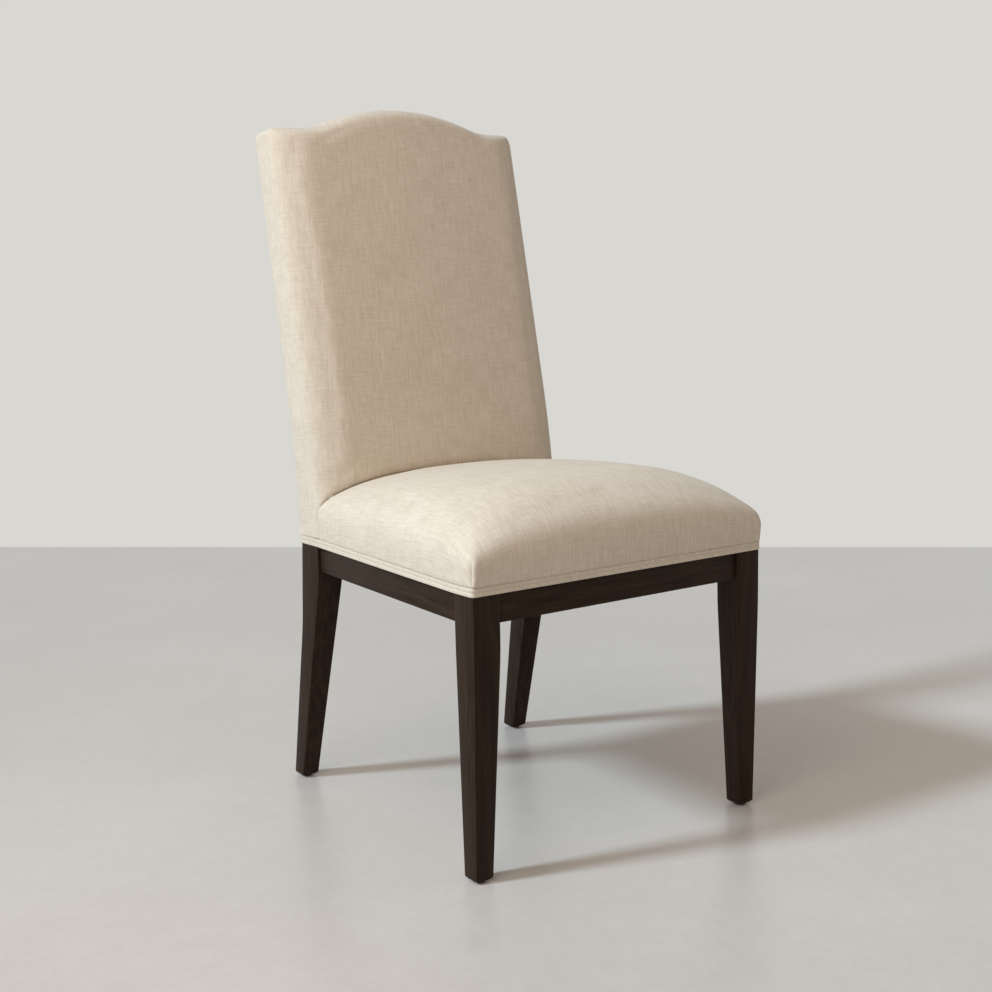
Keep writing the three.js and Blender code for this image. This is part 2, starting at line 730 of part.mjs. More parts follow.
// Front face of the back at a height, drawn out to the width of the seat that meets it.
function backFaceAt(x, z) {
  const drawn = x * backHalf / (rearWidth / 2 + overhangAt(rearLegFront, z));
  const depth = (length) => frontDepth(drawn, length, 0);
  let length = z - frameTop;
  for (let step = 0; step < 5; step++) length += z - onBack(drawn, length, depth(length))[2];
  return onBack(drawn, length, depth(length))[1];
}

// Grid points of one skin of the seat, this far inside the cover. A level left out lies between
// the pads' lower edge and the top, and the last level is the top.
function seatPoint(inset, levels) {
  return (column, row, level) => {
    const across = columnShare(column, seatCells[0]);
    const turn = Math.PI / 2 * Math.min(1, row / frontRows);
    const place = (z) => {
      const over = overhangAt(0, z) - inset;
      if (row <= frontRows) return crownPeak - (crownPeak + over) * Math.cos(turn);
      const half = sideLine(rearLegFront) + overhangAt(rearLegFront, z) - inset;
      const end = backFaceAt(across * half, z) - clearance;
      return THREE.MathUtils.lerp(crownPeak, end, (row - frontRows) / (seatCells[1] - frontRows));
    };
    const behind = Math.max(0, place(seatEdge) - crownPeak) / (rearLegFront - crownPeak);
    const top = seatEdge - inset + crownAt(across, row < frontRows ? Math.cos(turn) : 0, behind);
    const middle = THREE.MathUtils.lerp(padLow, top, sideMidShare);
    const z = level === levels.length ? top : levels[level] ?? middle;
    const y = place(z);
    return [across * (sideLine(y) + overhangAt(y, z) - inset), y, z];
  };
}

// Back upholstery

function backOver(length) {
  const share = THREE.MathUtils.clamp((length - weltLength) / (padLowLength - weltLength), 0, 1);
  return THREE.MathUtils.lerp(tuck, backOverhang, share);
}

// Depth of the side of the back, where its front edge starts to roll.
function edgeDepth(length) {
  return THREE.MathUtils.lerp(backLowDepth, backTopDepth, length / shoulderLength) - backRoll;
}

function frontDepth(x, length, inset) {
  const half = backHalf - inset;
  const across = Math.min(1, Math.abs(x) / half);
  const top = crestLine(x, half) - inset;
  const rise = THREE.MathUtils.clamp((length - top + crestRoll) / crestRoll, 0, 1);
  const roll = backRoll * Math.sqrt(1 - across ** backRollPower) * Math.sqrt(1 - rise ** 2);
  return edgeDepth(length) - inset + roll;
}

// Length up the back of a row of cells: the skirt behind the welt, even rows, and closer rows in
// the roll along the crest.
function backRow(row, rows, skirt, top) {
  const lastEven = rows - rollRows;
  if (row > lastEven) {
    const turn = Math.PI / 2 * (row - lastEven) / rollRows;
    return top - crestRoll * (1 - Math.sin(turn));
  }
  if (row < skirt) return row === 0 ? clearance : weltLength;
  return THREE.MathUtils.lerp(padLowLength, top - crestRoll, (row - skirt) / (lastEven - skirt));
}

// Depth of the rear edge of the back cover: drawn in behind the welt, then flush with the rear.
function rearEdge(length) {
  const share = THREE.MathUtils.clamp((length - weltLength) / (padLowLength - weltLength), 0, 1);
  return THREE.MathUtils.lerp(-tuck, -clearance - outsideThick, share);
}

// Grid points of one skin of the back, this far inside the cover.
function backPoint(inset, cells, skirt, rearDepth) {
  return (column, row, layer) => {
    const across = columnShare(column, cells[0]);
    const half = backHalf - inset;
    const full = across * half;
    const length = backRow(row, cells[1], skirt, crestLine(full, half) - inset);
    const depth = layer === 0 ? rearDepth(length) : frontDepth(full, length, inset);
    const [, y, z] = onBack(full, length, depth);
    return [across * (sideLine(y) + backOver(length) - inset), y, z];
  };
}

const coverLevels = [frameTop + clearance, weltTop, padLow, null];
const padLevels = [padLow, null];
const padCells = [seatCells[0], seatCells[1], padLevels.length];
const battingInset = coverThick + clearance;
const seatFoamInset = battingInset + seatBattingThick + clearance;
const openBelow = ['-z', '+y'];

add('seat_cover', padded(
  seatCells, seatPoint(0, coverLevels), seatPoint(coverThick, coverLevels), openBelow), linen, true);
add('seat_batting', padded(
  padCells, seatPoint(battingInset, padLevels),
  seatPoint(battingInset + seatBattingThick, padLevels), openBelow), batting, true);
add('seat_foam', padded(padCells, seatPoint(seatFoamInset, padLevels)), foam, true);

const backPadCells = [backCells[0], backCells[1] - skirtRows, backCells[2]];
const backFoamInset = battingInset + backBattingThick + clearance + foamSideGap;
const openBehind = ['-z', '-y'];
const battingRear = () => backBattingThick;
const foamRear = (length) => postDepth(length) + clearance + webThick + padClearance;

add('back_cover', padded(
  backCells, backPoint(0, backCells, skirtRows, rearEdge),
  backPoint(coverThick, backCells, skirtRows, rearEdge), openBehind, skirtRows), linen, true);
add('back_batting', padded(
  backPadCells, backPoint(battingInset, backPadCells, 0, battingRear),
  backPoint(battingInset + backBattingThick, backPadCells, 0, battingRear), openBehind), batting, true);
add('back_foam', padded(
  backPadCells, backPoint(backFoamInset, backPadCells, 0, foamRear)), foam, true);

// Outside back: a thin panel over the rear of the posts, drawn in behind the welt.
function outsideBack() {
  const half = backHalf - battingInset;
  return padded(backCells, (column, row, layer) => {
    const across = columnShare(column, backCells[0]);
    const full = across * half;
    const length = backRow(row, backCells[1], skirtRows, crestLine(full, half) - battingInset);
    const x = across * (rearWidth / 2 + backOver(length) - battingInset);
    const thick = row < skirtRows ? coverThick : outsideThick;
    return onBack(x, length, rearEdge(length) + (layer === 0 ? 0 : thick));
  });
}

add('outside_back', outsideBack(), linen, true);

// Welt

// Double welt in section: how far out from the legs and how far up.
function weltSection() {
  const flat = tuck + clearance;
  const section = [[flat, 0]];
  for (const cord of [0, 1]) {
    for (let step = cord; step <= cordSteps; step++) {
      const turn = Math.PI * step / cordSteps;
      const out = weltReach - weltRadius + weltRadius * Math.sin(turn);
      section.push([out, weltRadius * (1 + 2 * cord - Math.cos(turn))]);
    }
  }
  section.push([flat, 4 * weltRadius]);
  return section;
}

function welt(stations) {
  const rings = stations.map((station) => weltSection().map(([out, up]) => [
    ...station(out), frameTop + clearance + up]));
  return loft(rings);
}

function sideWelt(side) {
  return welt([
    (out) => [side * (frontWidth / 2 + out), clearance - out],
    (out) => [side * (frontWidth / 2 + out), frontLegWidth],
    (out) => [side * (rearWidth / 2 + out), rearLegFront],
    (out) => [side * (rearWidth / 2 + out), frameDepth + out - clearance],
  ]);
}

add('seat_welt_front', welt([-1, 1].map((side) => (out) => [
  side * (frontWidth / 2 + out - clearance), -out])), linen);
add('seat_welt_rear', welt([-1, 1].map((side) => (out) => [
  side * (rearWidth / 2 + out - clearance), frameDepth + out])), linen);
add('seat_welt_left', sideWelt(-1), linen);
add('seat_welt_right', sideWelt(1), linen);

// Dust cover under the rails, cut round the legs
function dustCover() {
  const inside = railSetBack + dustInset;
  const frontX = frontRailHalf - clearance;
  const rearX = rearRailHalf - clearance;
  const frontY = frontLegWidth + clearance;
  const rearY = rearLegFront - clearance;
  const half = [
    [frontX, inside], [frontX, frontY], [sideLine(frontY) - inside, frontY],
    [sideLine(rearY) - inside, rearY], [rearX, rearY], [rearX, frameDepth - inside],
  ];
  const mirrored = half.map(([x, y]) => [-x, y]).reverse();
  return plate([...half, ...mirrored], railLow - clearance - dustThick, railLow - clearance);
}

add('dust_cover', dustCover(), cambric);

// The origin is on the floor, below the middle of the chair.
const extent = new THREE.Box3().setFromObject(chair);
chair.position.y = -(extent.min.y + extent.max.y) / 2;

export default chair;
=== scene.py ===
import math

import bmesh
import bpy
import numpy as np
from mathutils import Matrix, Vector
from mathutils.bvhtree import BVHTree


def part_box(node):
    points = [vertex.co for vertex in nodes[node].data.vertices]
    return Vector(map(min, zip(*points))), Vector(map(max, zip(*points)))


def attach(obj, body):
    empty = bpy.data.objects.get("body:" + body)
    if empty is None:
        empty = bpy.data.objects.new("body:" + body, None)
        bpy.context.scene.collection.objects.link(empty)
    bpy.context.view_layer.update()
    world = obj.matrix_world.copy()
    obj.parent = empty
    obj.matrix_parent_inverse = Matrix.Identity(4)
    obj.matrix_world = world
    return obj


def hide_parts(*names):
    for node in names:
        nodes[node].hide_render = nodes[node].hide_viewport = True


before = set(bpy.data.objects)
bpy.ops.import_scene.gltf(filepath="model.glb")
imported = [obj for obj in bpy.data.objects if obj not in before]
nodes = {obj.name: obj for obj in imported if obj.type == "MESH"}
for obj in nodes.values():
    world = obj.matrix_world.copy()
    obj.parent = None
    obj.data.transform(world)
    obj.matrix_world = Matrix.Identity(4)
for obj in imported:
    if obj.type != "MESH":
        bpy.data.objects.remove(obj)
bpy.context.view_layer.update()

mm = 0.001
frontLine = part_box("front_leg_left")[0].y / mm  # front faces of the front legs

print("camera and floor")

photoCamera = {
    "place": (-1.3268, -1.8768, 0.7995),
    "yaw": math.radians(35.26),
    "pitch": math.radians(8.55),
    "roll": math.radians(-1.25),
    "lens": 56.45,
    "sensor": 36,
}


def cameraAxes(view):
    yaw, pitch, roll = view["yaw"], view["pitch"], view["roll"]
    ahead = Vector((math.sin(yaw) * math.cos(pitch), math.cos(yaw) * math.cos(pitch), -math.sin(pitch)))
    right = ahead.cross(Vector((0, 0, 1))).normalized()
    up = right.cross(ahead)
    return (
        right * math.cos(roll) + up * math.sin(roll),
        up * math.cos(roll) - right * math.sin(roll),
        ahead,
    )


cameraRight, cameraUp, cameraAhead = cameraAxes(photoCamera)
cameraData = bpy.data.cameras.new("photoCamera")
cameraData.lens = photoCamera["lens"]
cameraData.sensor_width = photoCamera["sensor"]
camera = bpy.data.objects.new("photoCamera", cameraData)
bpy.context.scene.collection.objects.link(camera)
turned = Matrix((cameraRight, cameraUp, -cameraAhead)).transposed().to_4x4()
camera.matrix_world = Matrix.Translation(photoCamera["place"]) @ turned
bpy.context.scene.camera = camera


# Where a line of sight meets the floor, from a place in the frame between -1 and 1.
def floorAt(across, up):
    half = photoCamera["sensor"] / 2 / photoCamera["lens"]
    ray = cameraAhead + cameraRight * across * half + cameraUp * up * half
    eye = Vector(photoCamera["place"])
    return eye - ray * eye.z / ray.z


# Materials

class Wire:
    def __init__(self, paint, socket):
        self.paint = paint
        self.socket = socket

    def maths(self, operation, *others):
        return self.paint.node("ShaderNodeMath", {"operation": operation}, dict(enumerate(others)))

    def __add__(self, other):
        return self.maths("ADD", self, other)

    __radd__ = __add__

    def __mul__(self, other):
        return self.maths("MULTIPLY", self, other)

    __rmul__ = __mul__

    def __sub__(self, other):
        return self.maths("SUBTRACT", self, other)

    def __rsub__(self, other):
        return self.maths("SUBTRACT", other, self)

    def __truediv__(self, other):
        return self.maths("DIVIDE", self, other)

    def __pow__(self, other):
        return self.maths("POWER", self, other)

    def __abs__(self):
        return self.maths("ABSOLUTE", self)

    def sine(self):
        return self.maths("SINE", self)

    def floor(self):
        return self.maths("FLOOR", self)

    def larger(self, other):
        return self.maths("MAXIMUM", self, other)

    def wrapped(self, span):
        return self.maths("FLOORED_MODULO", self, span)

    # 0 below low, 1 above high, and a smooth rise between
    def rise(self, low, high):
        return self.paint.node("ShaderNodeMapRange", {"interpolation_type": "SMOOTHSTEP"},
                               {"Value": self, "From Min": low, "From Max": high})


class Paint:
    def __init__(self, name):
        self.material = bpy.data.materials.new(name)
        self.material.use_nodes = True
        self.tree = self.material.node_tree
        self.shader = self.tree.nodes["Principled BSDF"]

    def node(self, kind, settings={}, inputs={}, out=0):
        made = self.tree.nodes.new(kind)
        for key, value in settings.items():
            setattr(made, key, value)
        self.fill(made, inputs)
        return Wire(self, made.outputs[out])

    def fill(self, target, inputs):
        for key, value in inputs.items():
            if isinstance(value, Wire):
                self.tree.links.new(value.socket, target.inputs[key])
            else:
                target.inputs[key].default_value = value

    def finish(self, inputs):
        self.fill(self.shader, inputs)
        return self.material

    # Object coordinates in millimetres, as three numbers
    def place(self):
        coordinates = self.node("ShaderNodeTexCoord", out="Object")
        split = self.tree.nodes.new("ShaderNodeSeparateXYZ")
        self.tree.links.new(coordinates.socket, split.inputs[0])
        return [Wire(self, output) / mm for output in split.outputs]

    # The same across and along a grain that runs along one axis: 0 for X, 1 for Y, 2 for Z
    def grainPlace(self, axis):
        spot = self.place()
        first, second = [spot[other] for other in range(3) if other != axis]
        return first, second, spot[axis]

    # Lengths along and across the cloth in millimetres
    def clothPlace(self):
        flat = self.node("ShaderNodeUVMap", {"uv_map": "cloth"})
        split = self.tree.nodes.new("ShaderNodeSeparateXYZ")
        self.tree.links.new(flat.socket, split.inputs[0])
        return [Wire(self, output) / mm for output in list(split.outputs)[:2]]

    def noise(self, x, y, z=0.0, detail=2.0, roughness=0.5):
        where = self.node("ShaderNodeCombineXYZ", {}, {0: x, 1: y, 2: z})
        return self.node("ShaderNodeTexNoise", {}, {
            "Vector": where, "Scale": 1.0, "Detail": detail, "Roughness": roughness})

    def blend(self, share, first, second):
        return self.node("ShaderNodeMix", {"data_type": "RGBA"}, {0: share, 6: first, 7: second}, out=2)

    def bump(self, height, strength=1.0):
        return self.node("ShaderNodeBump", {}, {"Strength": strength, "Distance": mm, "Height": height})


def colour(red, green, blue):
    return (red, green, blue, 1)


linenLook = {
    "light": colour(0.755, 0.660, 0.552),
    "dark": colour(0.545, 0.456, 0.355),
    "thread": 0.95,  # pitch of the weave
    "warpSlub": (0.30, 0.030),  # how fast the slubs change across and along a thread
    "weftSlub": (0.34, 0.032),
    "single": (3.7, 0.05),  # the same for the tone of single threads
    "cloud": 0.012,
    "tones": {
        "warp": 1.05, "weft": 0.75, "warpThread": 0.35, "weftThread": 0.3, "cloud": 0.3, "crown": 0.25,
    },
    "heights": {"crown": 0.05, "warp": 0.03, "weft": 0.02},
    "slubRise": (0.52, 0.80),
    "relief": 0.18,
}


def linen(name="linen", look=linenLook):
    paint = Paint(name)
    u, v = paint.clothPlace()
    pitch = look["thread"]
    across, along = look["warpSlub"]
    warp = paint.noise(u * across, v * along, 3.0, 3.0, 0.6)
    across, along = look["weftSlub"]
    weft = paint.noise(v * across, u * along, 11.0, 3.0, 0.6)
    across, along = look["single"]
    fineWarp = paint.noise((u / pitch).floor() * across, v * along, 21.0, 1.0)
    fineWeft = paint.noise((v / pitch).floor() * across, u * along, 31.0, 1.0)
    cloudy = paint.noise(u * look["cloud"], v * look["cloud"], 5.0, 2.0)
    sineU = abs((u * (math.pi / pitch)).sine())
    sineV = abs((v * (math.pi / pitch)).sine())
    warpOver = ((u / pitch).floor() + (v / pitch).floor()).wrapped(2.0)
    crown = warpOver * sineU * sineV ** 0.4 + (1 - warpOver) * sineV * sineU ** 0.4
    tones, heights = look["tones"], look["heights"]
    tone = (warp - 0.5) * tones["warp"] + (weft - 0.5) * tones["weft"]
    tone = tone + (fineWarp - 0.5) * tones["warpThread"] + (fineWeft - 0.5) * tones["weftThread"]
    # The crown term makes the thread crowns lighter and the hollows between threads darker: painted shade
    # in the weave.
    tone = tone + (cloudy - 0.5) * tones["cloud"] + (crown - 0.6) * tones["crown"]
    share = (0.60 - tone).rise(0.0, 1.25)
    height = crown * heights["crown"] + warp.rise(*look["slubRise"]) * heights["warp"]
    height = height + weft.rise(*look["slubRise"]) * heights["weft"]
    return paint.finish({
        "Base Color": paint.blend(share, look["light"], look["dark"]),
        "Roughness": 0.93 - warp * 0.08,
        "Normal": paint.bump(height, look["relief"]),
        "Specular IOR Level": 0.2,
        "Sheen Weight": 0.15,
        "Sheen Roughness": 0.5,
    })


stainLook = {
    "dark": colour(0.0176, 0.0099, 0.0060),
    "light": colour(0.0424, 0.0240, 0.0145),
    "wander": (0.02, 0.003, 9.0),  # how fast it changes across and along the grain, and how far it moves
    "figure": (0.16, 0.006),
    "pores": (1.9, 0.035),
    "coat": 0.035,
    "shine": 0.07,
}


# Stained wood with its grain along one axis
def stainedWood(axis, look=stainLook):
    paint = Paint("stainedWood" + "XYZ"[axis])
    first, second, along = paint.grainPlace(axis)
    over, down, reach = look["wander"]
    wander = paint.noise(first * over, second * over, along * down, 1.0) * reach
    over, down = look["figure"]
    figure = paint.noise(first * over + wander, second * over, along * down, 3.0, 0.6)
    over, down = look["pores"]
    pores = paint.noise(first * over, second * over, along * down, 2.0, 0.6)
    share = (figure * 0.75 + pores * 0.25).rise(0.30, 0.72)
    pit = pores.rise(0.60, 0.78)
    return paint.finish({
        "Base Color": paint.blend(share, look["dark"], look["light"]),
        "Roughness": 0.38 + figure * 0.16 + pit * 0.12,
        "Coat Weight": look["coat"],
        "Coat Roughness": 0.30,
        "Specular IOR Level": look["shine"],
        "Normal": paint.bump(figure * 0.05 - pit * 0.05, 0.8),
    })


def bareWood(axis):
    paint = Paint("bareWood" + "XYZ"[axis])
    first, second, along = paint.grainPlace(axis)
    rings = paint.noise(first * 0.11, second * 0.11, along * 0.004, 3.0, 0.6)
    pores = paint.noise(first * 1.6, second * 1.6, along * 0.03, 2.0)
    share = (rings * 0.8 + pores * 0.2).rise(0.32, 0.70)
    return paint.finish({
        "Base Color": paint.blend(share, colour(0.38, 0.23, 0.11), colour(0.56, 0.38, 0.20)),
        "Roughness": 0.72 + pores * 0.15,
        "Normal": paint.bump(pores * 0.08),
    })


def zincSteel():
    paint = Paint("zincSteel")
    x, y, z = paint.place()
    bloom = paint.noise(x * 0.5, y * 0.5, z * 0.5, 3.0)
    return paint.finish({
        "Base Color": paint.blend(bloom, colour(0.42, 0.41, 0.36), colour(0.56, 0.55, 0.50)),
        "Metallic": 1.0,
        "Roughness": 0.26 + bloom * 0.2,
    })


def moulded():
    paint = Paint("mouldedNylon")
    x, y, z = paint.place()
    grain = paint.noise(x * 2.5, y * 2.5, z * 2.5, 2.0)
    return paint.finish({
        "Base Color": paint.blend(grain, colour(0.017, 0.017, 0.018), colour(0.030, 0.029, 0.029)),
        "Roughness": 0.45 + grain * 0.2,
        "Normal": paint.bump(grain * 0.04),
    })


webbingLook = {"rib": 2.6, "pick": 1.5}  # pitches of its ribs and of the threads across them


# Ribbed webbing that runs along one axis: 0 for X, 1 for Y
def webbing(axis, look=webbingLook):
    paint = Paint("webbing" + "XY"[axis])
    spot = paint.place()
    along = spot[axis]
    across = spot[1 - axis] + spot[2]
    rib = abs((across * (math.pi / look["rib"])).sine())
    pick = abs((along * (math.pi / look["pick"])).sine())
    strand = paint.noise(across * 0.9, along * 0.05, 1.0, 2.0)
    # Rib and pick make the grooves between ribs and threads darker: painted shade. The strand noise is the
    # webbing's own tone.
    share = (rib * 0.45 + pick * 0.25 + strand * 0.5).rise(0.25, 0.95)
    return paint.finish({
        "Base Color": paint.blend(share, colour(0.085, 0.055, 0.030), colour(0.215, 0.148, 0.085)),
        "Roughness": 0.85 + strand * 0.1,
        "Normal": paint.bump(rib * 0.35 + pick * 0.15),
        "Specular IOR Level": 0.2,
    })


# Cloth and fillings without a weave to follow: cambric, batting and foam
def plainCloth(name, light, dark, thread, relief, rough=0.9):
    paint = Paint(name)
    x, y, z = paint.place()
    grain = paint.noise(x / thread, y / thread, z / thread, 3.0, 0.65)
    patch = paint.noise(x * 0.02, y * 0.02, z * 0.02, 1.0)
    return paint.finish({
        "Base Color": paint.blend((grain * 0.7 + patch * 0.3).rise(0.3, 0.7), dark, light),
        "Roughness": rough,
        "Normal": paint.bump(grain * relief),
        "Specular IOR Level": 0.2,
    })


linenCloth = linen()
stained = [stainedWood(axis) for axis in range(3)]
bare = bareWood(0)
steel = zincSteel()
nylon = moulded()
webbingCloth = [webbing(axis) for axis in range(2)]
cambricCloth = plainCloth("cambricCloth", colour(0.013, 0.013, 0.013), colour(0.006, 0.006, 0.006),
                          thread=0.5, relief=0.06)
battingWool = plainCloth("battingWool", colour(0.90, 0.89, 0.86), colour(0.78, 0.77, 0.74),
                         thread=2.5, relief=0.6, rough=1.0)
cutFoam = plainCloth("cutFoam", colour(0.82, 0.76, 0.46), colour(0.70, 0.63, 0.36), thread=0.8, relief=0.3)

# Mesh helpers

joinWithin = {"solid": 0.00001, "grids": 0.00002}  # in metres
softAngle = math.radians(40)  # edges of soft pieces sharper than this stay sharp


def deselect():
    if bpy.context.object and bpy.context.object.mode != "OBJECT":
        bpy.ops.object.mode_set(mode="OBJECT")
    bpy.ops.object.select_all(action="DESELECT")


def choose(piece):
    deselect()
    piece.select_set(True)
    bpy.context.view_layer.objects.active = piece


def applyAll(piece):
    choose(piece)
    for modifier in list(piece.modifiers):
        bpy.ops.object.modifier_apply(modifier=modifier.name)


def place(piece, slot, material, *standsFor):
    piece.data.materials.clear()
    piece.data.materials.append(material)
    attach(piece, "root")
    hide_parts(*standsFor)
    return piece


# A CAD node copied into a piece of its own, with its loose triangles joined up
def copied(node, name):
    mesh = nodes[node].data.copy()
    mesh.name = name
    piece = bpy.data.objects.new(name, mesh)
    bpy.context.scene.collection.objects.link(piece)
    mesh.materials.clear()
    choose(piece)
    bpy.ops.object.mode_set(mode="EDIT")
    bpy.ops.mesh.select_all(action="SELECT")
    bpy.ops.mesh.remove_doubles(threshold=joinWithin["solid"])
    bpy.ops.mesh.dissolve_limited(angle_limit=math.radians(0.3))
    bpy.ops.object.mode_set(mode="OBJECT")
    return piece


# Grids of points become one mesh, joined where they touch. Points are in millimetres from the front
# faces of the front legs, and each grid brings its lengths of cloth.
def fromGrids(name, grids):
    points, faces, cloth = [], [], []
    for grid, lengths in grids:
        rows, columns = grid.shape[:2]
        first = len(points)
        points.extend(grid.reshape(-1, 3))
        flat = lengths.reshape(-1, 2)
        for row in range(rows - 1):
            for column in range(columns - 1):
                a = row * columns + column
                quad = [a, a + 1, a + columns + 1, a + columns]
                faces.append([corner + first for corner in quad])
                cloth.extend(flat[corner] for corner in quad)
    placed = (np.array(points) + (0, frontLine, 0)) * mm
    mesh = bpy.data.meshes.new(name)
    mesh.from_pydata(placed.tolist(), [], faces)
    layer = mesh.uv_layers.new(name="cloth")
    layer.data.foreach_set("uv", (np.array(cloth) * mm).ravel())
    piece = bpy.data.objects.new(name, mesh)
    bpy.context.scene.collection.objects.link(piece)
    choose(piece)
    bpy.ops.object.mode_set(mode="EDIT")
    bpy.ops.mesh.select_all(action="SELECT")
    bpy.ops.mesh.remove_doubles(threshold=joinWithin["grids"])
    bpy.ops.mesh.normals_make_consistent(inside=False)
    bpy.ops.object.mode_set(mode="OBJECT")
    bpy.ops.object.shade_smooth()
    return piece


def pointsOf(mesh):
    found = np.empty(len(mesh.vertices) * 3)
    mesh.vertices.foreach_get("co", found)
    return found.reshape(-1, 3)


def setPoints(mesh, points):
    mesh.vertices.foreach_set("co", points.ravel())
    mesh.update()


def lerp(low, high, share):
    return low + (high - low) * share


def steps(low, high, spacing):
    return np.linspace(low, high, max(2, round(abs(high - low) / spacing) + 1))


# Shares of a curve at even lengths along it, and closer together near its ends.
def evenShares(shares, curve, spacing, ends=(True, True), closer=1.6, reach=12):
    lengths = np.r_[0, np.cumsum(np.linalg.norm(np.diff(curve, axis=0), axis=1))]
    weighed = lengths.copy()
    for atEnd, gap in zip(ends, (lengths, lengths[-1] - lengths)):
        if atEnd:
            near = 1 - np.exp(-gap / reach)
            weighed = weighed + closer * reach * (near - near[0]) * (1 if near[-1] > near[0] else -1)
    count = max(2, round(weighed[-1] / spacing) + 1)
    return np.interp(np.linspace(0, weighed[-1], count), weighed, shares)


def smooth(share):
    share = np.clip(share, 0, 1)
    return share * share * (3 - 2 * share)


# Lengths of cloth over a grid: across from its middle column, along from one of its rows.
def clothLengths(grid, fromRow=0):
    across = np.linalg.norm(np.diff(grid, axis=1), axis=2)
    across = np.pad(np.cumsum(across, axis=1), ((0, 0), (1, 0)))
    across -= across[:, grid.shape[1] // 2][:, None]
    along = np.linalg.norm(np.diff(grid, axis=0), axis=2)
    along = np.pad(np.cumsum(along, axis=0), ((1, 0), (0, 0)))
    along -= along[fromRow][None]
    return np.stack([across, along], axis=2)


# Wood

woodEdge = {
    "radius": 0.9, "segments": 3, "below": 383.2, "shortest": 2, "apart": 0.2,
    "sharp": math.radians(25), "shade": math.radians(32),
}


# Rounds the outer edges of a piece of the frame, and leaves its mortises and holes as they are.
def easeEdges(piece, look=woodEdge):
    mesh = bmesh.new()
    mesh.from_mesh(piece.data)
    tree = BVHTree.FromBMesh(mesh)
    sharp = []
    for edge in mesh.edges:
        if len(edge.link_faces) != 2 or edge.calc_length() < look["shortest"] * mm:
            continue
        if edge.calc_face_angle_signed(0) < look["sharp"]:
            continue
        middle = (edge.verts[0].co + edge.verts[1].co) / 2
        if middle.z > look["below"] * mm:
            continue
        normals = [face.normal for face in edge.link_faces]
        start = middle + (normals[0] + normals[1]) * look["apart"] * mm
        if any(tree.ray_cast(start, normal)[0] for normal in normals):
            continue
        sharp.append(edge)
    bmesh.ops.bevel(mesh, geom=sharp, offset=look["radius"] * mm, segments=look["segments"], profile=0.5,
                    affect="EDGES", clamp_overlap=True)
    mesh.to_mesh(piece.data)
    mesh.free()
    choose(piece)
    bpy.ops.object.shade_smooth_by_angle(angle=look["shade"])


print("show wood")
showWood = [
    ("front_leg_left", "frontLegLeft", 2), ("front_leg_right", "frontLegRight", 2),
    ("rear_leg_left", "rearLegLeft", 2), ("rear_leg_right", "rearLegRight", 2),
    ("front_rail", "frontRail", 0), ("rear_rail", "rearRail", 0),
    ("side_rail_left", "sideRailLeft", 1), ("side_rail_right", "sideRailRight", 1),
]
for node, name, axis in showWood:
    piece = copied(node, name)
    easeEdges(piece)
    place(piece, "stained_wood", stained[axis], node)

for node in nodes:
    if node.startswith("corner_block") or node in ("lower_back_rail", "crest_rail"):
        material = bare
    elif node.startswith("block_screw"):
        material = steel
    elif node.startswith("glide"):
        material = nylon
    else:
        continue
    nodes[node].data.materials.clear()
    nodes[node].data.materials.append(material)

# Shape of the upholstery, in millimetres

frameForm = {
    "frontHalf": 250, "rearHalf": 221, "frontLeg": 42, "rearLegFront": 452, "depth": 500, "top": 383,
    "clearance": 0.3, "padLow": 411.1, "weltTop": 395.3, "tuck": -2.7, "crease": 2.6,
}
seatForm = {
    "overhang": 6.3, "rearOverhang": 4, "lowShare": 0.54, "edge": 420, "roll": 14, "sideRollPower": 70,
    "frontRollPower": 14, "frontRise": 8, "cornerPowers": (34, 18), "cornerBlend": 0.35, "cornerLow": 0.45,
    "cornerHeight": 16, "crown": 76, "peak": 118, "droop": 27, "acrossPower": 2.64, "frontPower": 1.65,
    "dip": 5, "dipLength": 6, "dipPower": 24, "rearShare": 0.984, "rearTurn": 7, "rearIn": 0.0125,
    "cell": 4,
}
backForm = {
    "rake": math.radians(10.2), "bend": 196, "length": 658, "shoulder": 625, "crestRadius": 355,
    "crestFillet": 120, "crestCorner": 12, "half": 224, "lowDepth": 80.2, "topDepth": 65.2, "roll": 33,
    "rollWidth": 62, "crown": 4, "crestRoll": 22, "over": 3, "rear": -2.8, "rearRound": 3.5,
    "rearRows": (0.65, 0.4, 0.18, 0.05, 0), "topCrown": 1.5, "cell": 4, "besideSeat": 0.93, "sampled": 300,
    "under": 6, "underHeight": 12, "underEase": 0.12,
    "underRows": (-0.3, 0, 0.04, 0.12, 0.24, 0.4, 0.58, 0.78, 1, 1.25),
}
frontLeg, rearLegFront, clearance = frameForm["frontLeg"], frameForm["rearLegFront"], frameForm["clearance"]


def sideLine(y):
    share = np.clip((y - frontLeg) / (rearLegFront - frontLeg), 0, 1)
    return lerp(frameForm["frontHalf"], frameForm["rearHalf"], share)


# Place of a length up the rear line of the back and a depth forward of it
def onBack(x, length, depth):
    rake, bend = backForm["rake"], backForm["bend"]
    angle = rake * np.clip(length / bend, 0, 1)
    radius = bend / rake
    straight = np.maximum(0, length - bend)
    y = frameForm["depth"] + radius * (1 - np.cos(angle)) + straight * math.sin(rake)
    z = frameForm["top"] + radius * np.sin(angle) + straight * math.cos(rake) + np.minimum(0, length)
    return np.stack(np.broadcast_arrays(x, y - depth * np.cos(angle), z + depth * np.sin(angle)), axis=-1)


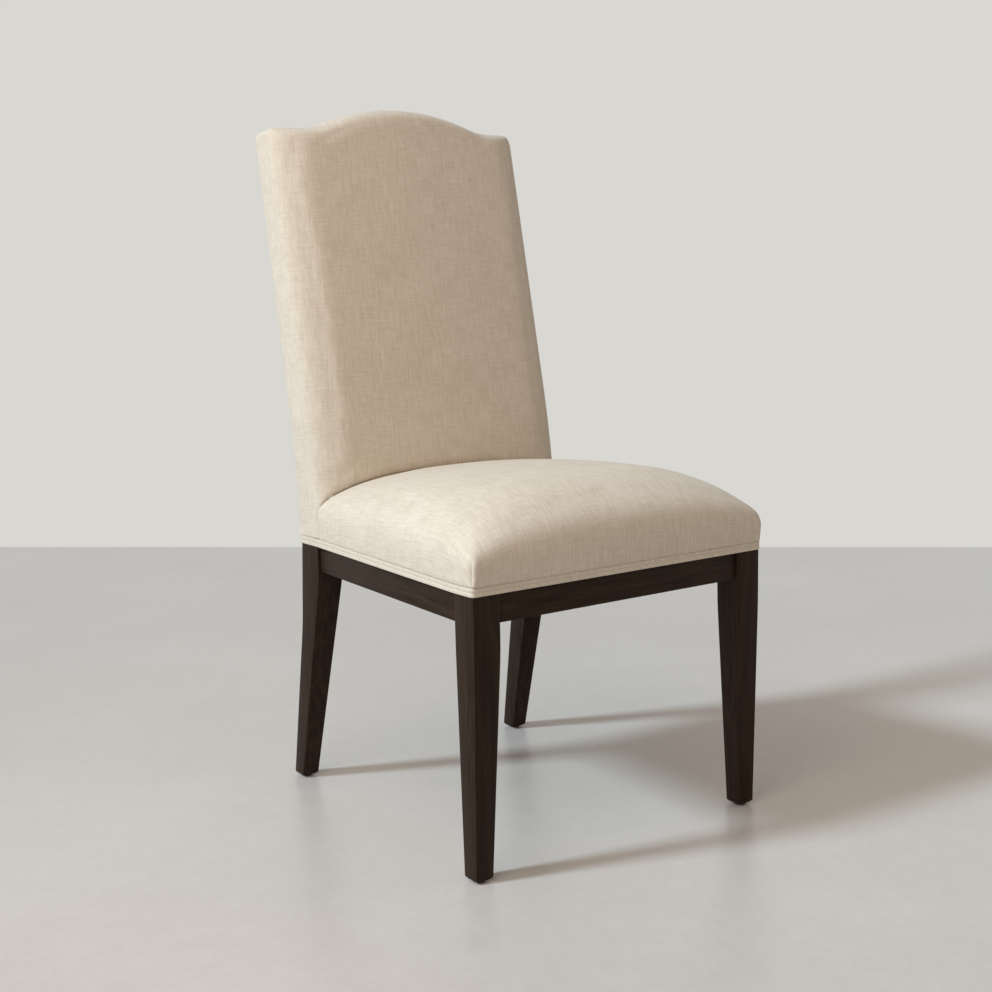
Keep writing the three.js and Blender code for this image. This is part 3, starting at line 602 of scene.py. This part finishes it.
def crestLine(x, half):
    radius, fillet, corner = backForm["crestRadius"], backForm["crestFillet"], backForm["crestCorner"]
    drop = backForm["length"] - backForm["shoulder"]
    reach = math.sqrt((radius + fillet) ** 2 - (radius + fillet - drop) ** 2)
    away = np.minimum(np.abs(x), half)
    turned = np.maximum(0, away - half + corner)
    shoulder = backForm["shoulder"] - corner + np.sqrt(np.maximum(0, corner ** 2 - turned ** 2))
    within = np.maximum(0, reach - away)
    hollow = backForm["shoulder"] + fillet - np.sqrt(np.maximum(0, fillet ** 2 - within ** 2))
    arc = backForm["length"] - radius + np.sqrt(radius ** 2 - away ** 2)
    met = reach * radius / (radius + fillet)  # where the crest's arc meets the hollow
    return np.where(away >= reach, shoulder, np.where(away >= met, hollow, arc))


def backEdgeDepth(length):
    full = lerp(backForm["lowDepth"], backForm["topDepth"], length / backForm["shoulder"])
    return full - backForm["roll"]


def backFrontDepth(x, length):
    half, wide = backForm["half"], backForm["rollWidth"]
    turned = np.clip((np.abs(x) - half + wide) / wide, 0, 1)
    rise = np.clip((length - crestLine(x, half) + backForm["crestRoll"]) / backForm["crestRoll"], 0, 1)
    crown = backForm["crown"] * (1 - np.minimum(1, np.abs(x) / half) ** 2)
    full = backForm["roll"] * np.sqrt(1 - turned ** 2) + crown
    return backEdgeDepth(length) + full * np.sqrt(1 - rise ** 2)


# 0 for cloth that is tucked in behind the welt, and 1 just above it
def outOfWelt(z):
    share = np.clip((z - frameForm["weltTop"] + 0.8) / frameForm["crease"], 0, 1)
    return np.sqrt(1 - (1 - share) ** 2)


def backOver(length):
    return lerp(frameForm["tuck"], backForm["over"], outOfWelt(frameForm["top"] + length))


def backRear(length):
    return lerp(-frameForm["tuck"], backForm["rear"], outOfWelt(frameForm["top"] + length))


# Length up the back where its front face is at a height, for a share of the way across it. A few
# rounds of correction settle it.
def backLengthAt(across, z):
    drawn = across * backForm["half"]
    length = z - frameForm["top"]
    for turn in range(6):
        length = length + z - onBack(drawn, length, backFrontDepth(drawn, length))[..., 2]
    return length


def backFaceAt(across, z):
    drawn, length = across * backForm["half"], backLengthAt(across, z)
    return onBack(drawn, length, backFrontDepth(drawn, length))[..., 1]


# How far the back's lower edge turns in over the seat, easing off towards its sides
def tuckedUnder(across):
    return backForm["under"] * smooth((1 - np.abs(across)) / backForm["underEase"])


def seatOverhang(y, z):
    behind = np.clip((y - frontLeg) / (rearLegFront - frontLeg), 0, 1)
    full = lerp(seatForm["overhang"], seatForm["rearOverhang"], behind)
    share = np.clip((z - frameForm["weltTop"]) / (seatForm["edge"] - frameForm["weltTop"]), 0, 1)
    side = full * lerp(seatForm["lowShare"], 1, 1 - (1 - share) ** 2)
    return lerp(frameForm["tuck"], side, outOfWelt(z))


# How near a place is to the seat's outer edge, along its sides and along its front
def edgeShares(across, ahead):
    return np.abs(across) ** seatForm["sideRollPower"], ahead ** seatForm["frontRollPower"]


def seatRise(across, ahead, behind):
    roll = seatForm["roll"] * np.sqrt(1 - np.maximum(*edgeShares(across, ahead)))
    front = seatForm["frontRise"] * (1 - across ** 2) * ahead ** 4
    crown = seatForm["crown"] - seatForm["droop"] * behind ** 2
    along = np.sqrt(1 - ahead ** seatForm["frontPower"]) * crown
    return roll + front + along * np.sqrt(1 - np.abs(across) ** seatForm["acrossPower"])


# A place on the seat's cover. Ahead runs from 1 at the front to 0 at the highest line, and back from
# 0 there to 1 at the back. A height places it on the side, and without one it is on the top.
def seatPlace(across, ahead, back, height=None):
    edge, peak = seatForm["edge"], seatForm["peak"]
    side, front = edgeShares(across, ahead)
    larger = np.maximum(side, front)
    corner = 1 - (1 - larger / np.maximum(side + front, 1e-12)) * larger ** seatForm["cornerBlend"]
    sidePower, frontPower = seatForm["cornerPowers"]
    met = np.clip(across, -seatForm["rearShare"], seatForm["rearShare"])  # where the back's face is met

    def along(z, forward):
        front = peak - (peak + seatOverhang(0 * z, z)) * forward
        return front + (backFaceAt(met, z) + tuckedUnder(across) - clearance - peak) * back

    rear = backFaceAt(met, edge + 0 * across) + tuckedUnder(across)
    behind = np.maximum(0, (rear - peak) * back) / (rearLegFront - peak)
    z = edge + seatRise(across, ahead, behind) if height is None else height
    rounded = lerp(seatForm["cornerLow"], 1, smooth((z - frameForm["weltTop"]) / seatForm["cornerHeight"]))
    y = along(z, ahead * lerp(1, corner ** (1 / frontPower), rounded))
    x = across * lerp(1, corner ** (1 / sidePower), rounded) * (sideLine(y) + seatOverhang(y, z))
    left = backFaceAt(met, z) + tuckedUnder(across) - clearance - y
    turn = np.clip(1 - left / seatForm["rearTurn"], 0, 1)
    x = x * (1 - seatForm["rearIn"] * (1 - np.sqrt(1 - turn ** 2)))
    if height is None:
        crease = np.clip(1 - (1 - back) * (rear - peak) / seatForm["dipLength"], 0, 1)
        inner = 1 - np.abs(across) ** seatForm["dipPower"]
        z = z - seatForm["dip"] * (1 - np.sqrt(1 - crease ** 2)) * inner
    return np.stack(np.broadcast_arrays(x, y, z), axis=-1)


print("seat cover")

# Heights of the rows of a cover from the welt's top, closer together where it is tucked in behind it
creaseRows = np.array([-12, -8, -4, -0.8, -0.5, 0, 0.5, 1.2, 2.2, 3.6, 6])
# Shares of the way across, from side to side and closer together at the sides
denseShares = np.sin(np.linspace(-math.pi / 2, math.pi / 2, 2001))


def seatGrids():
    level = np.zeros_like(denseShares)
    acrossShares = evenShares(denseShares, seatPlace(denseShares, level, level), seatForm["cell"])
    acrossShares[[0, -1]] = -1, 1
    turns = np.linspace(0, math.pi / 2, 1001)
    profile = seatPlace(0 * turns, np.cos(turns), 0 * turns)
    aheadShares = np.cos(evenShares(turns, profile, seatForm["cell"], ends=(True, False)))
    aheadShares[[0, -1]] = 1, 0
    flat = np.linspace(0, 1, 101)
    level = seatPlace(0 * flat, 0 * flat, flat)
    backShares = evenShares(flat, level, seatForm["cell"], ends=(False, True), reach=6)
    ahead = np.r_[aheadShares, 0 * backShares[1:]]
    back = np.r_[0 * aheadShares, backShares[1:]]

    # heights down the side from its top edge to behind the welt
    def sideHeights(top):
        shares = np.linspace(1, 0, 6)
        low = frameForm["weltTop"] + creaseRows[::-1]
        return np.concatenate([lerp(low[0], top[None], shares[:, None]), low[1:, None] + 0 * top[None]])

    topGrid = seatPlace(acrossShares[None], ahead[:, None], back[:, None])
    topCloth = clothLengths(topGrid, len(aheadShares) - 1)
    grids = [(topGrid, topCloth)]
    heights = sideHeights(topGrid[0, :, 2])
    frontGrid = seatPlace(acrossShares[None] + 0 * heights, 1 + 0 * heights, 0 * heights, heights)
    fallen = clothLengths(frontGrid)[..., 1]
    frontCloth = np.stack([topCloth[0, :, 0] + 0 * fallen, topCloth[0, :, 1] - fallen], axis=2)
    grids.append((frontGrid[::-1], frontCloth[::-1]))
    for side, column in ((-1, 0), (1, -1)):
        heights = sideHeights(seatForm["edge"] + 0 * ahead).T
        level = 0 * heights
        grid = seatPlace(side + level, ahead[:, None] + level, back[:, None] + level, heights)
        fallen = np.linalg.norm(np.diff(grid, axis=1), axis=2)
        fallen = np.pad(np.cumsum(fallen, axis=1), ((0, 0), (1, 0)))
        lengths = np.stack([topCloth[:, column, 0][:, None] + side * fallen,
                            topCloth[:, column, 1][:, None] + 0 * fallen], axis=2)
        grids.append((grid, lengths) if side > 0 else (grid[:, ::-1], lengths[:, ::-1]))
    return grids


seatCover = fromGrids("seatCover", seatGrids())

print("back cover")


def backPlace(across, length, depth):
    placed = onBack(across * backForm["half"], length, depth)
    placed[..., 0] = across * (sideLine(placed[..., 1]) + backOver(length))
    return placed


# Depths from the front edge of the side of the back to its rear, closer together where it turns, and
# how far each is drawn in there
def rearwards(front, rear):
    turn = backForm["rearRound"]
    wide = lerp(front, rear + turn, np.linspace(0, 1, 13)[:, None])
    depths = np.concatenate([wide, rear + np.array(backForm["rearRows"])[:, None] * turn])
    share = np.clip(1 - (depths - rear) / turn, 0, 1)
    return depths, turn * (1 - np.sqrt(1 - share ** 2))


def backGrids():
    half, roll = backForm["half"], backForm["crestRoll"]
    low = frameForm["padLow"] - frameForm["top"]
    drawn = denseShares * half
    profile = np.stack([drawn, backFrontDepth(drawn, backForm["sampled"])], axis=1)
    acrossShares = evenShares(denseShares, profile, backForm["cell"])
    acrossShares[[0, -1]] = -1, 1
    top = crestLine(acrossShares * half, half)

    # height of the seat along its crease with the back, and rows that follow it
    reached = 1 - (backForm["under"] + 1) / (rearLegFront - seatForm["peak"])
    seatHeight = seatPlace(acrossShares, 0 * acrossShares, reached + 0 * acrossShares)[:, 2]
    creaseLine = np.maximum(backLengthAt(acrossShares, seatHeight), low + 4)
    height = backForm["underHeight"]
    nearby = height * np.array(backForm["underRows"])[:, None]
    rowShares = steps(0, backForm["shoulder"] - low - roll, backForm["cell"])
    rowShares = rowShares[1:] / rowShares[-1]
    turns = np.linspace(0, math.pi / 2, 8)[1:]
    lengths = np.concatenate([
        low + 0 * top[None], creaseLine + nearby,
        lerp(creaseLine + nearby[-1], top - roll, rowShares[:, None]),
        top - roll * (1 - np.sin(turns)[:, None]),
    ])
    under = np.clip(1 - (lengths - creaseLine) / height, 0, 1)
    under = tuckedUnder(acrossShares) * (1 - np.sqrt(1 - under ** 2))
    frontDepth = backFrontDepth(acrossShares[None] * half, lengths) - under
    frontGrid = backPlace(acrossShares[None], lengths, frontDepth)
    frontCloth = clothLengths(frontGrid)
    grids = [(frontGrid, frontCloth)]

    # the top wall, rounded over at its rear square to the crest's line
    slope = np.gradient(top, acrossShares * half)
    outwards = np.stack([-slope, 1 + 0 * slope]) / np.hypot(slope, 1)
    outwards[:, 0], outwards[:, -1] = (-1, 0), (1, 0)
    depths, drawnIn = rearwards(backEdgeDepth(top)[None], backRear(top)[None])
    stuffed = backForm["topCrown"] * np.sin(math.pi * np.linspace(0, 1, len(depths)))[:, None]
    drawnIn = drawnIn - stuffed * outwards[1]
    topGrid = backPlace(acrossShares - drawnIn * outwards[0] / half, top - drawnIn * outwards[1], depths)
    fallen = clothLengths(topGrid)[..., 1]
    topCloth = np.stack([frontCloth[-1, :, 0] + 0 * fallen, frontCloth[-1, :, 1] + fallen], axis=2)
    grids.append((topGrid, topCloth))

    skirt = frameForm["weltTop"] - frameForm["top"] + creaseRows
    for side, column in ((-1, 0), (1, -1)):
        # the front goes on down to the welt beside the seat's rear corner
        shares = acrossShares[acrossShares * side > backForm["besideSeat"]]
        down = np.r_[skirt, low][:, None]
        depths = backFrontDepth(shares[None] * half, down) - tuckedUnder(shares)
        beside = backPlace(shares[None], down, depths)
        grids.append((beside, clothLengths(beside)))
        sideLengths = np.r_[skirt, lengths[:, column]]
        depths, drawnIn = rearwards(backEdgeDepth(sideLengths)[None], backRear(sideLengths)[None])
        grid = backPlace(side - side * drawnIn / half, sideLengths[None] + 0 * depths, depths)
        grid = grid.transpose(1, 0, 2)
        inward = np.linalg.norm(np.diff(grid, axis=1), axis=2)
        inward = np.pad(np.cumsum(inward, axis=1), ((0, 0), (1, 0)))
        up = np.r_[frontCloth[0, column, 1] - low + skirt, frontCloth[:, column, 1]][:, None]
        edge = np.r_[np.full(len(skirt), frontCloth[0, column, 0]), frontCloth[:, column, 0]][:, None]
        cloth = np.stack([edge + side * inward, up + 0 * inward], axis=2)
        grids.append((grid, cloth) if side > 0 else (grid[:, ::-1], cloth[:, ::-1]))
    return grids


backCover = fromGrids("backCover", backGrids())

print("stuffing the covers")
stuffing = {
    "start": 1.5, "cap": 1.8, "inwards": 0.6, "pressure": 4, "frames": 20, "quality": 4,
    "stiffness": 12, "bending": 0.4, "evened": 6, "foot": 10,
}
cornerSeam = {"depth": 1.0, "width": 2.0, "top": 454, "fade": 22, "foot": 3, "calm": 7, "calmFade": 10}


# Points of a mesh in millimetres from the front faces of the front legs
def inForm(points):
    return points / mm - (0, frontLine, 0)


# How far points are from the lines down the seat's front corners, and their heights, in millimetres
def fromCorners(points):
    x, y, z = inForm(points).T
    seam = seatPlace(np.sign(x), 1 + 0 * x, 0 * x, z)
    return np.hypot(x - seam[:, 0], y - seam[:, 1]), z


# Blows a cover out from a slightly smaller shape against its tacked edges, as its stuffing does.
def stuff(piece, look=stuffing):
    mesh = piece.data
    loose = bmesh.new()
    loose.from_mesh(mesh)
    low = frameForm["weltTop"] * mm
    held = np.array([point.is_boundary or point.co.z < low for point in loose.verts])
    normals = np.array([point.normal for point in loose.verts])
    loose.free()
    drawn = pointsOf(mesh)
    setPoints(mesh, drawn - normals * (look["start"] * mm * ~held[:, None]))
    group = piece.vertex_groups.new(name="tacked")
    group.add(np.flatnonzero(held).tolist(), 1, "REPLACE")
    cloth = piece.modifiers.new("stuffing", "CLOTH")
    settings = cloth.settings
    settings.quality = look["quality"]
    settings.vertex_group_mass = "tacked"
    settings.use_pressure = True
    settings.uniform_pressure_force = look["pressure"]
    settings.tension_stiffness = settings.compression_stiffness = look["stiffness"]
    settings.bending_stiffness = look["bending"]
    settings.effector_weights.gravity = 0
    cloth.point_cache.frame_start = 1
    cloth.point_cache.frame_end = look["frames"]
    choose(piece)
    for step in range(1, look["frames"] + 1):
        bpy.context.scene.frame_set(step)
    bpy.ops.object.modifier_apply(modifier=cloth.name)
    bpy.context.scene.frame_set(1)
    moved = ((pointsOf(mesh) - drawn) / mm * normals).sum(axis=1)
    limit = np.where(moved < 0, look["inwards"], look["cap"])
    gap, z = fromCorners(drawn)
    free = smooth((z - frameForm["weltTop"]) / look["foot"]) * ~held
    if piece == seatCover:
        below = smooth((cornerSeam["top"] - z) / cornerSeam["calmFade"])
        free = free * (1 - np.exp(-(gap / cornerSeam["calm"]) ** 2) * below)
    moved = limit * np.tanh(moved / limit) * free
    ends = np.empty(len(mesh.edges) * 2, int)
    mesh.edges.foreach_get("vertices", ends)
    first, second = ends.reshape(-1, 2).T
    joined = np.bincount(ends, minlength=len(held))
    for turn in range(look["evened"]):
        beside = np.bincount(first, moved[second], len(held))
        beside = beside + np.bincount(second, moved[first], len(held))
        moved = (moved + beside / joined) / 2 * free
    setPoints(mesh, drawn + normals * moved[:, None] * mm)
    piece.vertex_groups.clear()


# Draws the cover in along the seam down each front corner
def sewCorners(piece, look=cornerSeam):
    points = pointsOf(piece.data)
    gap, z = fromCorners(points)
    x = inForm(points)[:, 0]
    inwards = np.stack([-np.sign(x), 1 + 0 * z, 0 * z], axis=1) * math.sqrt(0.5)
    low = smooth((z - frameForm["weltTop"]) / look["foot"])
    high = smooth((look["top"] - z) / look["fade"])
    drawnIn = look["depth"] * np.exp(-(gap / look["width"]) ** 2) * high * low
    setPoints(piece.data, points + inwards * drawnIn[:, None] * mm)


coverThick = 1.5  # of the linen


def thicken(piece):
    shell = piece.modifiers.new("cloth", "SOLIDIFY")
    shell.thickness = coverThick * mm
    shell.offset = -1
    applyAll(piece)


coverTrees = {}  # the outer faces of the finished covers
for piece, node in ((seatCover, "seat_cover"), (backCover, "back_cover")):
    stuff(piece)
    if piece == seatCover:
        sewCorners(piece)
    outerFaces = [list(face.vertices) for face in piece.data.polygons]
    coverTrees[node] = BVHTree.FromPolygons([point.co.copy() for point in piece.data.vertices], outerFaces)
    thicken(piece)
    place(piece, "linen", linenCloth, node)

print("outside back")
outsideForm = {"inset": 4, "turn": 3, "turnDepth": 1.5, "cell": 6, "edgeRows": (0, 0.35, 0.9, 1.7, 3)}


def outsideGrids():
    inset, turn = outsideForm["inset"], outsideForm["turn"]
    half = backForm["half"] - inset
    rows = np.array(outsideForm["edgeRows"])
    edges, fromTop = rows / half, rows[::-1]
    inner = 1 - edges[-1] * 2
    shares = np.r_[edges - 1, steps(-inner, inner, outsideForm["cell"] / half), 1 - edges[::-1]]
    top = crestLine(shares * half, half) - inset
    low = frameForm["weltTop"] - frameForm["top"] + creaseRows
    up = steps(0, 1, outsideForm["cell"] / backForm["shoulder"])[1:-1]
    lengths = np.concatenate([
        low[:, None] + 0 * top,
        lerp(low[-1], top - 2 * fromTop[0], up[:, None]),
        top - fromTop[:, None],
    ])
    gap = np.minimum(half * (1 - np.abs(shares))[None], top - lengths)
    turned = np.clip(1 - gap / turn, 0, 1)
    depth = backRear(lengths) + outsideForm["turnDepth"] * (1 - np.sqrt(1 - turned ** 2))
    x = shares[None] * (frameForm["rearHalf"] + backOver(lengths) - inset)
    grid = onBack(x, lengths, depth)
    return [(grid, clothLengths(grid))]


outside = fromGrids("outsideBack", outsideGrids())
thicken(outside)
place(outside, "linen", linenCloth, "outside_back")

print("welt")
weltForm = {
    "radius": 3, "reach": 2.4, "corner": 3.6, "sharp": math.radians(30), "cornerPoints": 7, "low": 383.3,
    "around": 12, "spacing": 3, "groove": 1.0, "grooveTurn": 0.3, "groovePower": 0.6, "behind": 1.6,
    "lip": 0.2,
}


# The path of the welt round the frame, as points and their distances along it
def weltPath():
    reach, corner = weltForm["reach"] - weltForm["radius"], weltForm["corner"]
    wide, narrow, rear = frameForm["frontHalf"], frameForm["rearHalf"], frameForm["depth"]
    outline = [  # corners of the right half, and the ways out from them
        (0, 0, 0, -1), (wide, 0, 1, -1), (wide, frontLeg, 1, 0),
        (narrow, rearLegFront, 1, 0), (narrow, rear, 1, 1), (0, rear, 0, 1),
    ]
    rightSide = [np.array((x + dx * reach, y + dy * reach)) for x, y, dx, dy in outline]
    corners = rightSide + [point * (-1, 1) for point in rightSide[-2:0:-1]]
    path = []
    count = len(corners)
    for index, point in enumerate(corners):
        before = corners[index - 1] - point
        after = corners[(index + 1) % count] - point
        before, after = before / np.linalg.norm(before), after / np.linalg.norm(after)
        sharpness = math.acos(np.clip(-before @ after, -1, 1))
        if sharpness < weltForm["sharp"]:
            path.append(point)
            continue
        start, end = point + before * corner, point + after * corner
        for share in np.linspace(0, 1, weltForm["cornerPoints"]):
            path.append((1 - share) ** 2 * start + 2 * share * (1 - share) * point + share ** 2 * end)
    path = np.array(path + path[:1])
    lengths = np.r_[0, np.cumsum(np.linalg.norm(np.diff(path, axis=0), axis=1))]
    extra = np.linspace(0, lengths[-1], round(lengths[-1] / weltForm["spacing"]))
    spots = np.unique(np.round(np.r_[lengths, extra], 2))
    return np.stack([np.interp(spots, lengths, path[:, axis]) for axis in (0, 1)], axis=1), spots


def weltGrids():
    path, spots = weltPath()
    before = np.roll(path[:-1], 1, axis=0)
    along = np.roll(path[:-1], -1, axis=0) - before
    along = np.vstack([along, along[:1]])
    along /= np.linalg.norm(along, axis=1)[:, None]
    out = np.stack([along[:, 1], -along[:, 0]], axis=1)
    radius, lip = weltForm["radius"], weltForm["lip"]
    behind = -radius - weltForm["behind"]
    section = [(behind, lip)]
    for cord in (0, 1):
        for turn in np.linspace(cord * weltForm["grooveTurn"], math.pi, weltForm["around"]):
            depth = weltForm["groove"] * (1 - math.sin(turn) ** weltForm["groovePower"])
            section.append((radius - depth, radius * (1 + 2 * cord - math.cos(turn))))
    section.append((behind, 4 * radius - lip))
    section = np.array(section + section[:1])
    grid = np.empty((len(path), len(section), 3))
    grid[..., :2] = path[:, None] + out[:, None] * section[None, :, :1]
    grid[..., 2] = weltForm["low"] + section[None, :, 1]
    girth = np.r_[0, np.cumsum(np.linalg.norm(np.diff(section, axis=0), axis=1))]
    u, v = spots[:, None] + 0 * girth[None], 0 * spots[:, None] + girth[None]
    bias = math.sqrt(0.5)  # the welt's cloth is cut on the bias
    return [(grid, np.stack([(u + v) * bias, (v - u) * bias], axis=2))]


welt = fromGrids("doubleWelt", weltGrids())
place(welt, "linen", linenCloth, "seat_welt_front", "seat_welt_left", "seat_welt_right", "seat_welt_rear")

print("inside the upholstery")
softInside = [
    ("seat_batting", "seatBatting", "batting", battingWool, 0.8),
    ("seat_foam", "seatFoam", "foam", cutFoam, 1),
    ("back_batting", "backBatting", "batting", battingWool, 0.8),
    ("back_foam", "backFoam", "foam", cutFoam, 1),
]


# Moves a filling's skin, so that it lies as deep under the finished cover as under the CAD one
def fitUnder(piece, node, spare=0.6, reach=14):
    outer = coverTrees[node]
    drawn = nodes[node].data
    inner = BVHTree.FromPolygons([point.co.copy() for point in drawn.vertices],
                                 [list(face.vertices) for face in drawn.polygons])
    for point in piece.data.vertices:
        wanted = inner.find_nearest(point.co)[3] / mm + coverThick + spare
        spot, normal = outer.find_nearest(point.co)[:2]
        depth = (spot - point.co).dot(normal) / mm
        if wanted < reach:
            point.co -= normal * (wanted - depth) * mm


for node, name, slotName, material, fill in softInside:
    piece = copied(node, name)
    fitUnder(piece, node.split("_")[0] + "_cover")
    bpy.ops.object.shade_smooth_by_angle(angle=softAngle)
    place(piece, slotName, material, node)

webForm = {"edge": 0.45, "segments": 2, "sharp": math.radians(50)}
for node in sorted(nodes):
    if "_web_" in node:
        words = node.split("_")
        piece = copied(node, words[0] + "".join(word.title() for word in words[1:]))
        edge = piece.modifiers.new("wovenEdge", "BEVEL")
        edge.width = webForm["edge"] * mm
        edge.segments = webForm["segments"]
        edge.limit_method = "ANGLE"
        edge.angle_limit = webForm["sharp"]
        applyAll(piece)
        bpy.ops.object.shade_smooth_by_angle(angle=softAngle)
        place(piece, "webbing", webbingCloth["long" in node], node)

dustForm = {"sag": 3.5, "cell": 24, "wave": 0.35, "waves": (9, 7)}
dust = copied("dust_cover", "dustCover")


# Cuts the flat cloth into cells, then lets it hang a little between the rails
def sag(piece, look=dustForm):
    bpy.ops.object.mode_set(mode="EDIT")
    low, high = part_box("dust_cover")
    for axis in (0, 1):
        normal = (1 - axis, axis, 0)
        for spot in steps(low[axis] / mm, high[axis] / mm, look["cell"])[1:-1]:
            bpy.ops.mesh.select_all(action="SELECT")
            bpy.ops.mesh.bisect(plane_co=Vector(normal) * float(spot) * mm, plane_no=normal)
    bpy.ops.object.mode_set(mode="OBJECT")
    points = pointsOf(piece.data)
    middle, half = (low + high) / 2, (high - low) / 2
    x, y = (points[:, 0] - middle.x) / half.x, (points[:, 1] - middle.y) / half.y
    slack = (1 - x ** 2) * (1 - y ** 2)
    ripple = look["wave"] * np.sin(x * look["waves"][0]) * np.sin(y * look["waves"][1])
    points[:, 2] -= np.maximum(0, slack * (look["sag"] + ripple)) * mm
    setPoints(piece.data, points)
    bpy.ops.object.shade_smooth_by_angle(angle=softAngle)


sag(dust)
place(dust, "cambric", cambricCloth, "dust_cover")

print("floor and light")
lightPlan = {
    "sun": 2.8, "sunColour": (0.655, 0.845, 1.0), "sunTurn": 14.5, "sunHeight": 38, "sunSoft": 9,
    "sunAway": 4,
    "sky": 0.37, "skyColour": colour(1.0, 0.905, 0.815), "wall": colour(0.690, 0.680, 0.645),
    "window": 9.0, "windowColour": (1.0, 0.90, 0.79), "windowPlace": (-1.0, -0.5, 1.45), "windowSize": 1.1,
    "windowAim": (0, 0, 0.7),
}
floorForm = {"farLine": 547, "photoHalf": 496, "half": 9, "length": 14}  # pixels from the top, and metres
lineUp = 1 - floorForm["farLine"] / floorForm["photoHalf"]
farLeft, farRight = floorAt(-1, lineUp), floorAt(1, lineUp)
alongLine = (farRight - farLeft).normalized()
towards = Vector((alongLine.y, -alongLine.x, 0))
middle = (farLeft + farRight) / 2
bpy.ops.mesh.primitive_grid_add(x_subdivisions=2, y_subdivisions=2, size=1)
floor = bpy.context.object
floor.name = "floor"
corners = [middle + alongLine * floorForm["half"] * side + towards * floorForm["length"] * near
           for side, near in ((-1, 0), (1, 0), (1, 1), (-1, 1))]
floor.data.clear_geometry()
floor.data.from_pydata([tuple(corner) for corner in corners], [], [(3, 2, 1, 0)])
floor.data.update()


def concrete():
    paint = Paint("paleFloor")
    x, y, z = paint.place()
    cloud = paint.noise(x * 0.0016, y * 0.0016, 0.0, 4.0, 0.6)
    fine = paint.noise(x * 0.02, y * 0.02, 7.0, 4.0, 0.65)
    grit = paint.noise(x * 0.07, y * 0.07, 3.0, 3.0, 0.6)
    share = (cloud * 0.5 + fine * 0.25 + grit * 0.25).rise(0.25, 0.75)
    return paint.finish({
        "Base Color": paint.blend(share, colour(0.575, 0.518, 0.467), colour(0.665, 0.606, 0.553)),
        "Roughness": 0.27 + fine * 0.10,
        "Specular IOR Level": 0.48,
    })


floor.data.materials.append(concrete())


def addLamp(name, kind, strength, tint, backwards):
    data = bpy.data.lights.new(name, kind)
    data.energy = strength
    data.color = tint
    lamp = bpy.data.objects.new(name, data)
    bpy.context.scene.collection.objects.link(lamp)
    lamp.rotation_mode = "QUATERNION"
    lamp.rotation_quaternion = backwards.to_track_quat("Z", "Y")
    return lamp


turn, height = math.radians(lightPlan["sunTurn"]), math.radians(lightPlan["sunHeight"])
fromSun = Vector((-math.cos(turn) * math.cos(height), math.sin(turn) * math.cos(height), math.sin(height)))
sun = addLamp("sun", "SUN", lightPlan["sun"], lightPlan["sunColour"], fromSun)
sun.data.angle = math.radians(lightPlan["sunSoft"])
sun.location = fromSun * lightPlan["sunAway"]

windowPlace = Vector(lightPlan["windowPlace"])
window = addLamp("window", "AREA", lightPlan["window"], lightPlan["windowColour"],
                 windowPlace - Vector(lightPlan["windowAim"]))
window.data.size = lightPlan["windowSize"]
window.location = windowPlace


# Paint for the nodes of the world
class RoomPaint(Paint):
    def __init__(self, world):
        world.use_nodes = True
        self.tree = world.node_tree
        self.tree.nodes.clear()


world = bpy.data.worlds.new("room")
bpy.context.scene.world = world
room = RoomPaint(world)
rays = [room.node("ShaderNodeLightPath", out="Is " + ray + " Ray")
        for ray in ("Camera", "Glossy", "Transmission")]
sky = room.node("ShaderNodeBackground", {}, {"Color": lightPlan["skyColour"], "Strength": lightPlan["sky"]})
wall = room.node("ShaderNodeBackground", {}, {"Color": lightPlan["wall"], "Strength": 1})
seen = rays[0].larger(rays[1]).larger(rays[2])
shown = room.node("ShaderNodeMixShader", {}, {0: seen, 1: sky, 2: wall})
room.fill(room.tree.nodes.new("ShaderNodeOutputWorld"), {0: shown})
bpy.context.scene.view_settings.view_transform = "Standard"
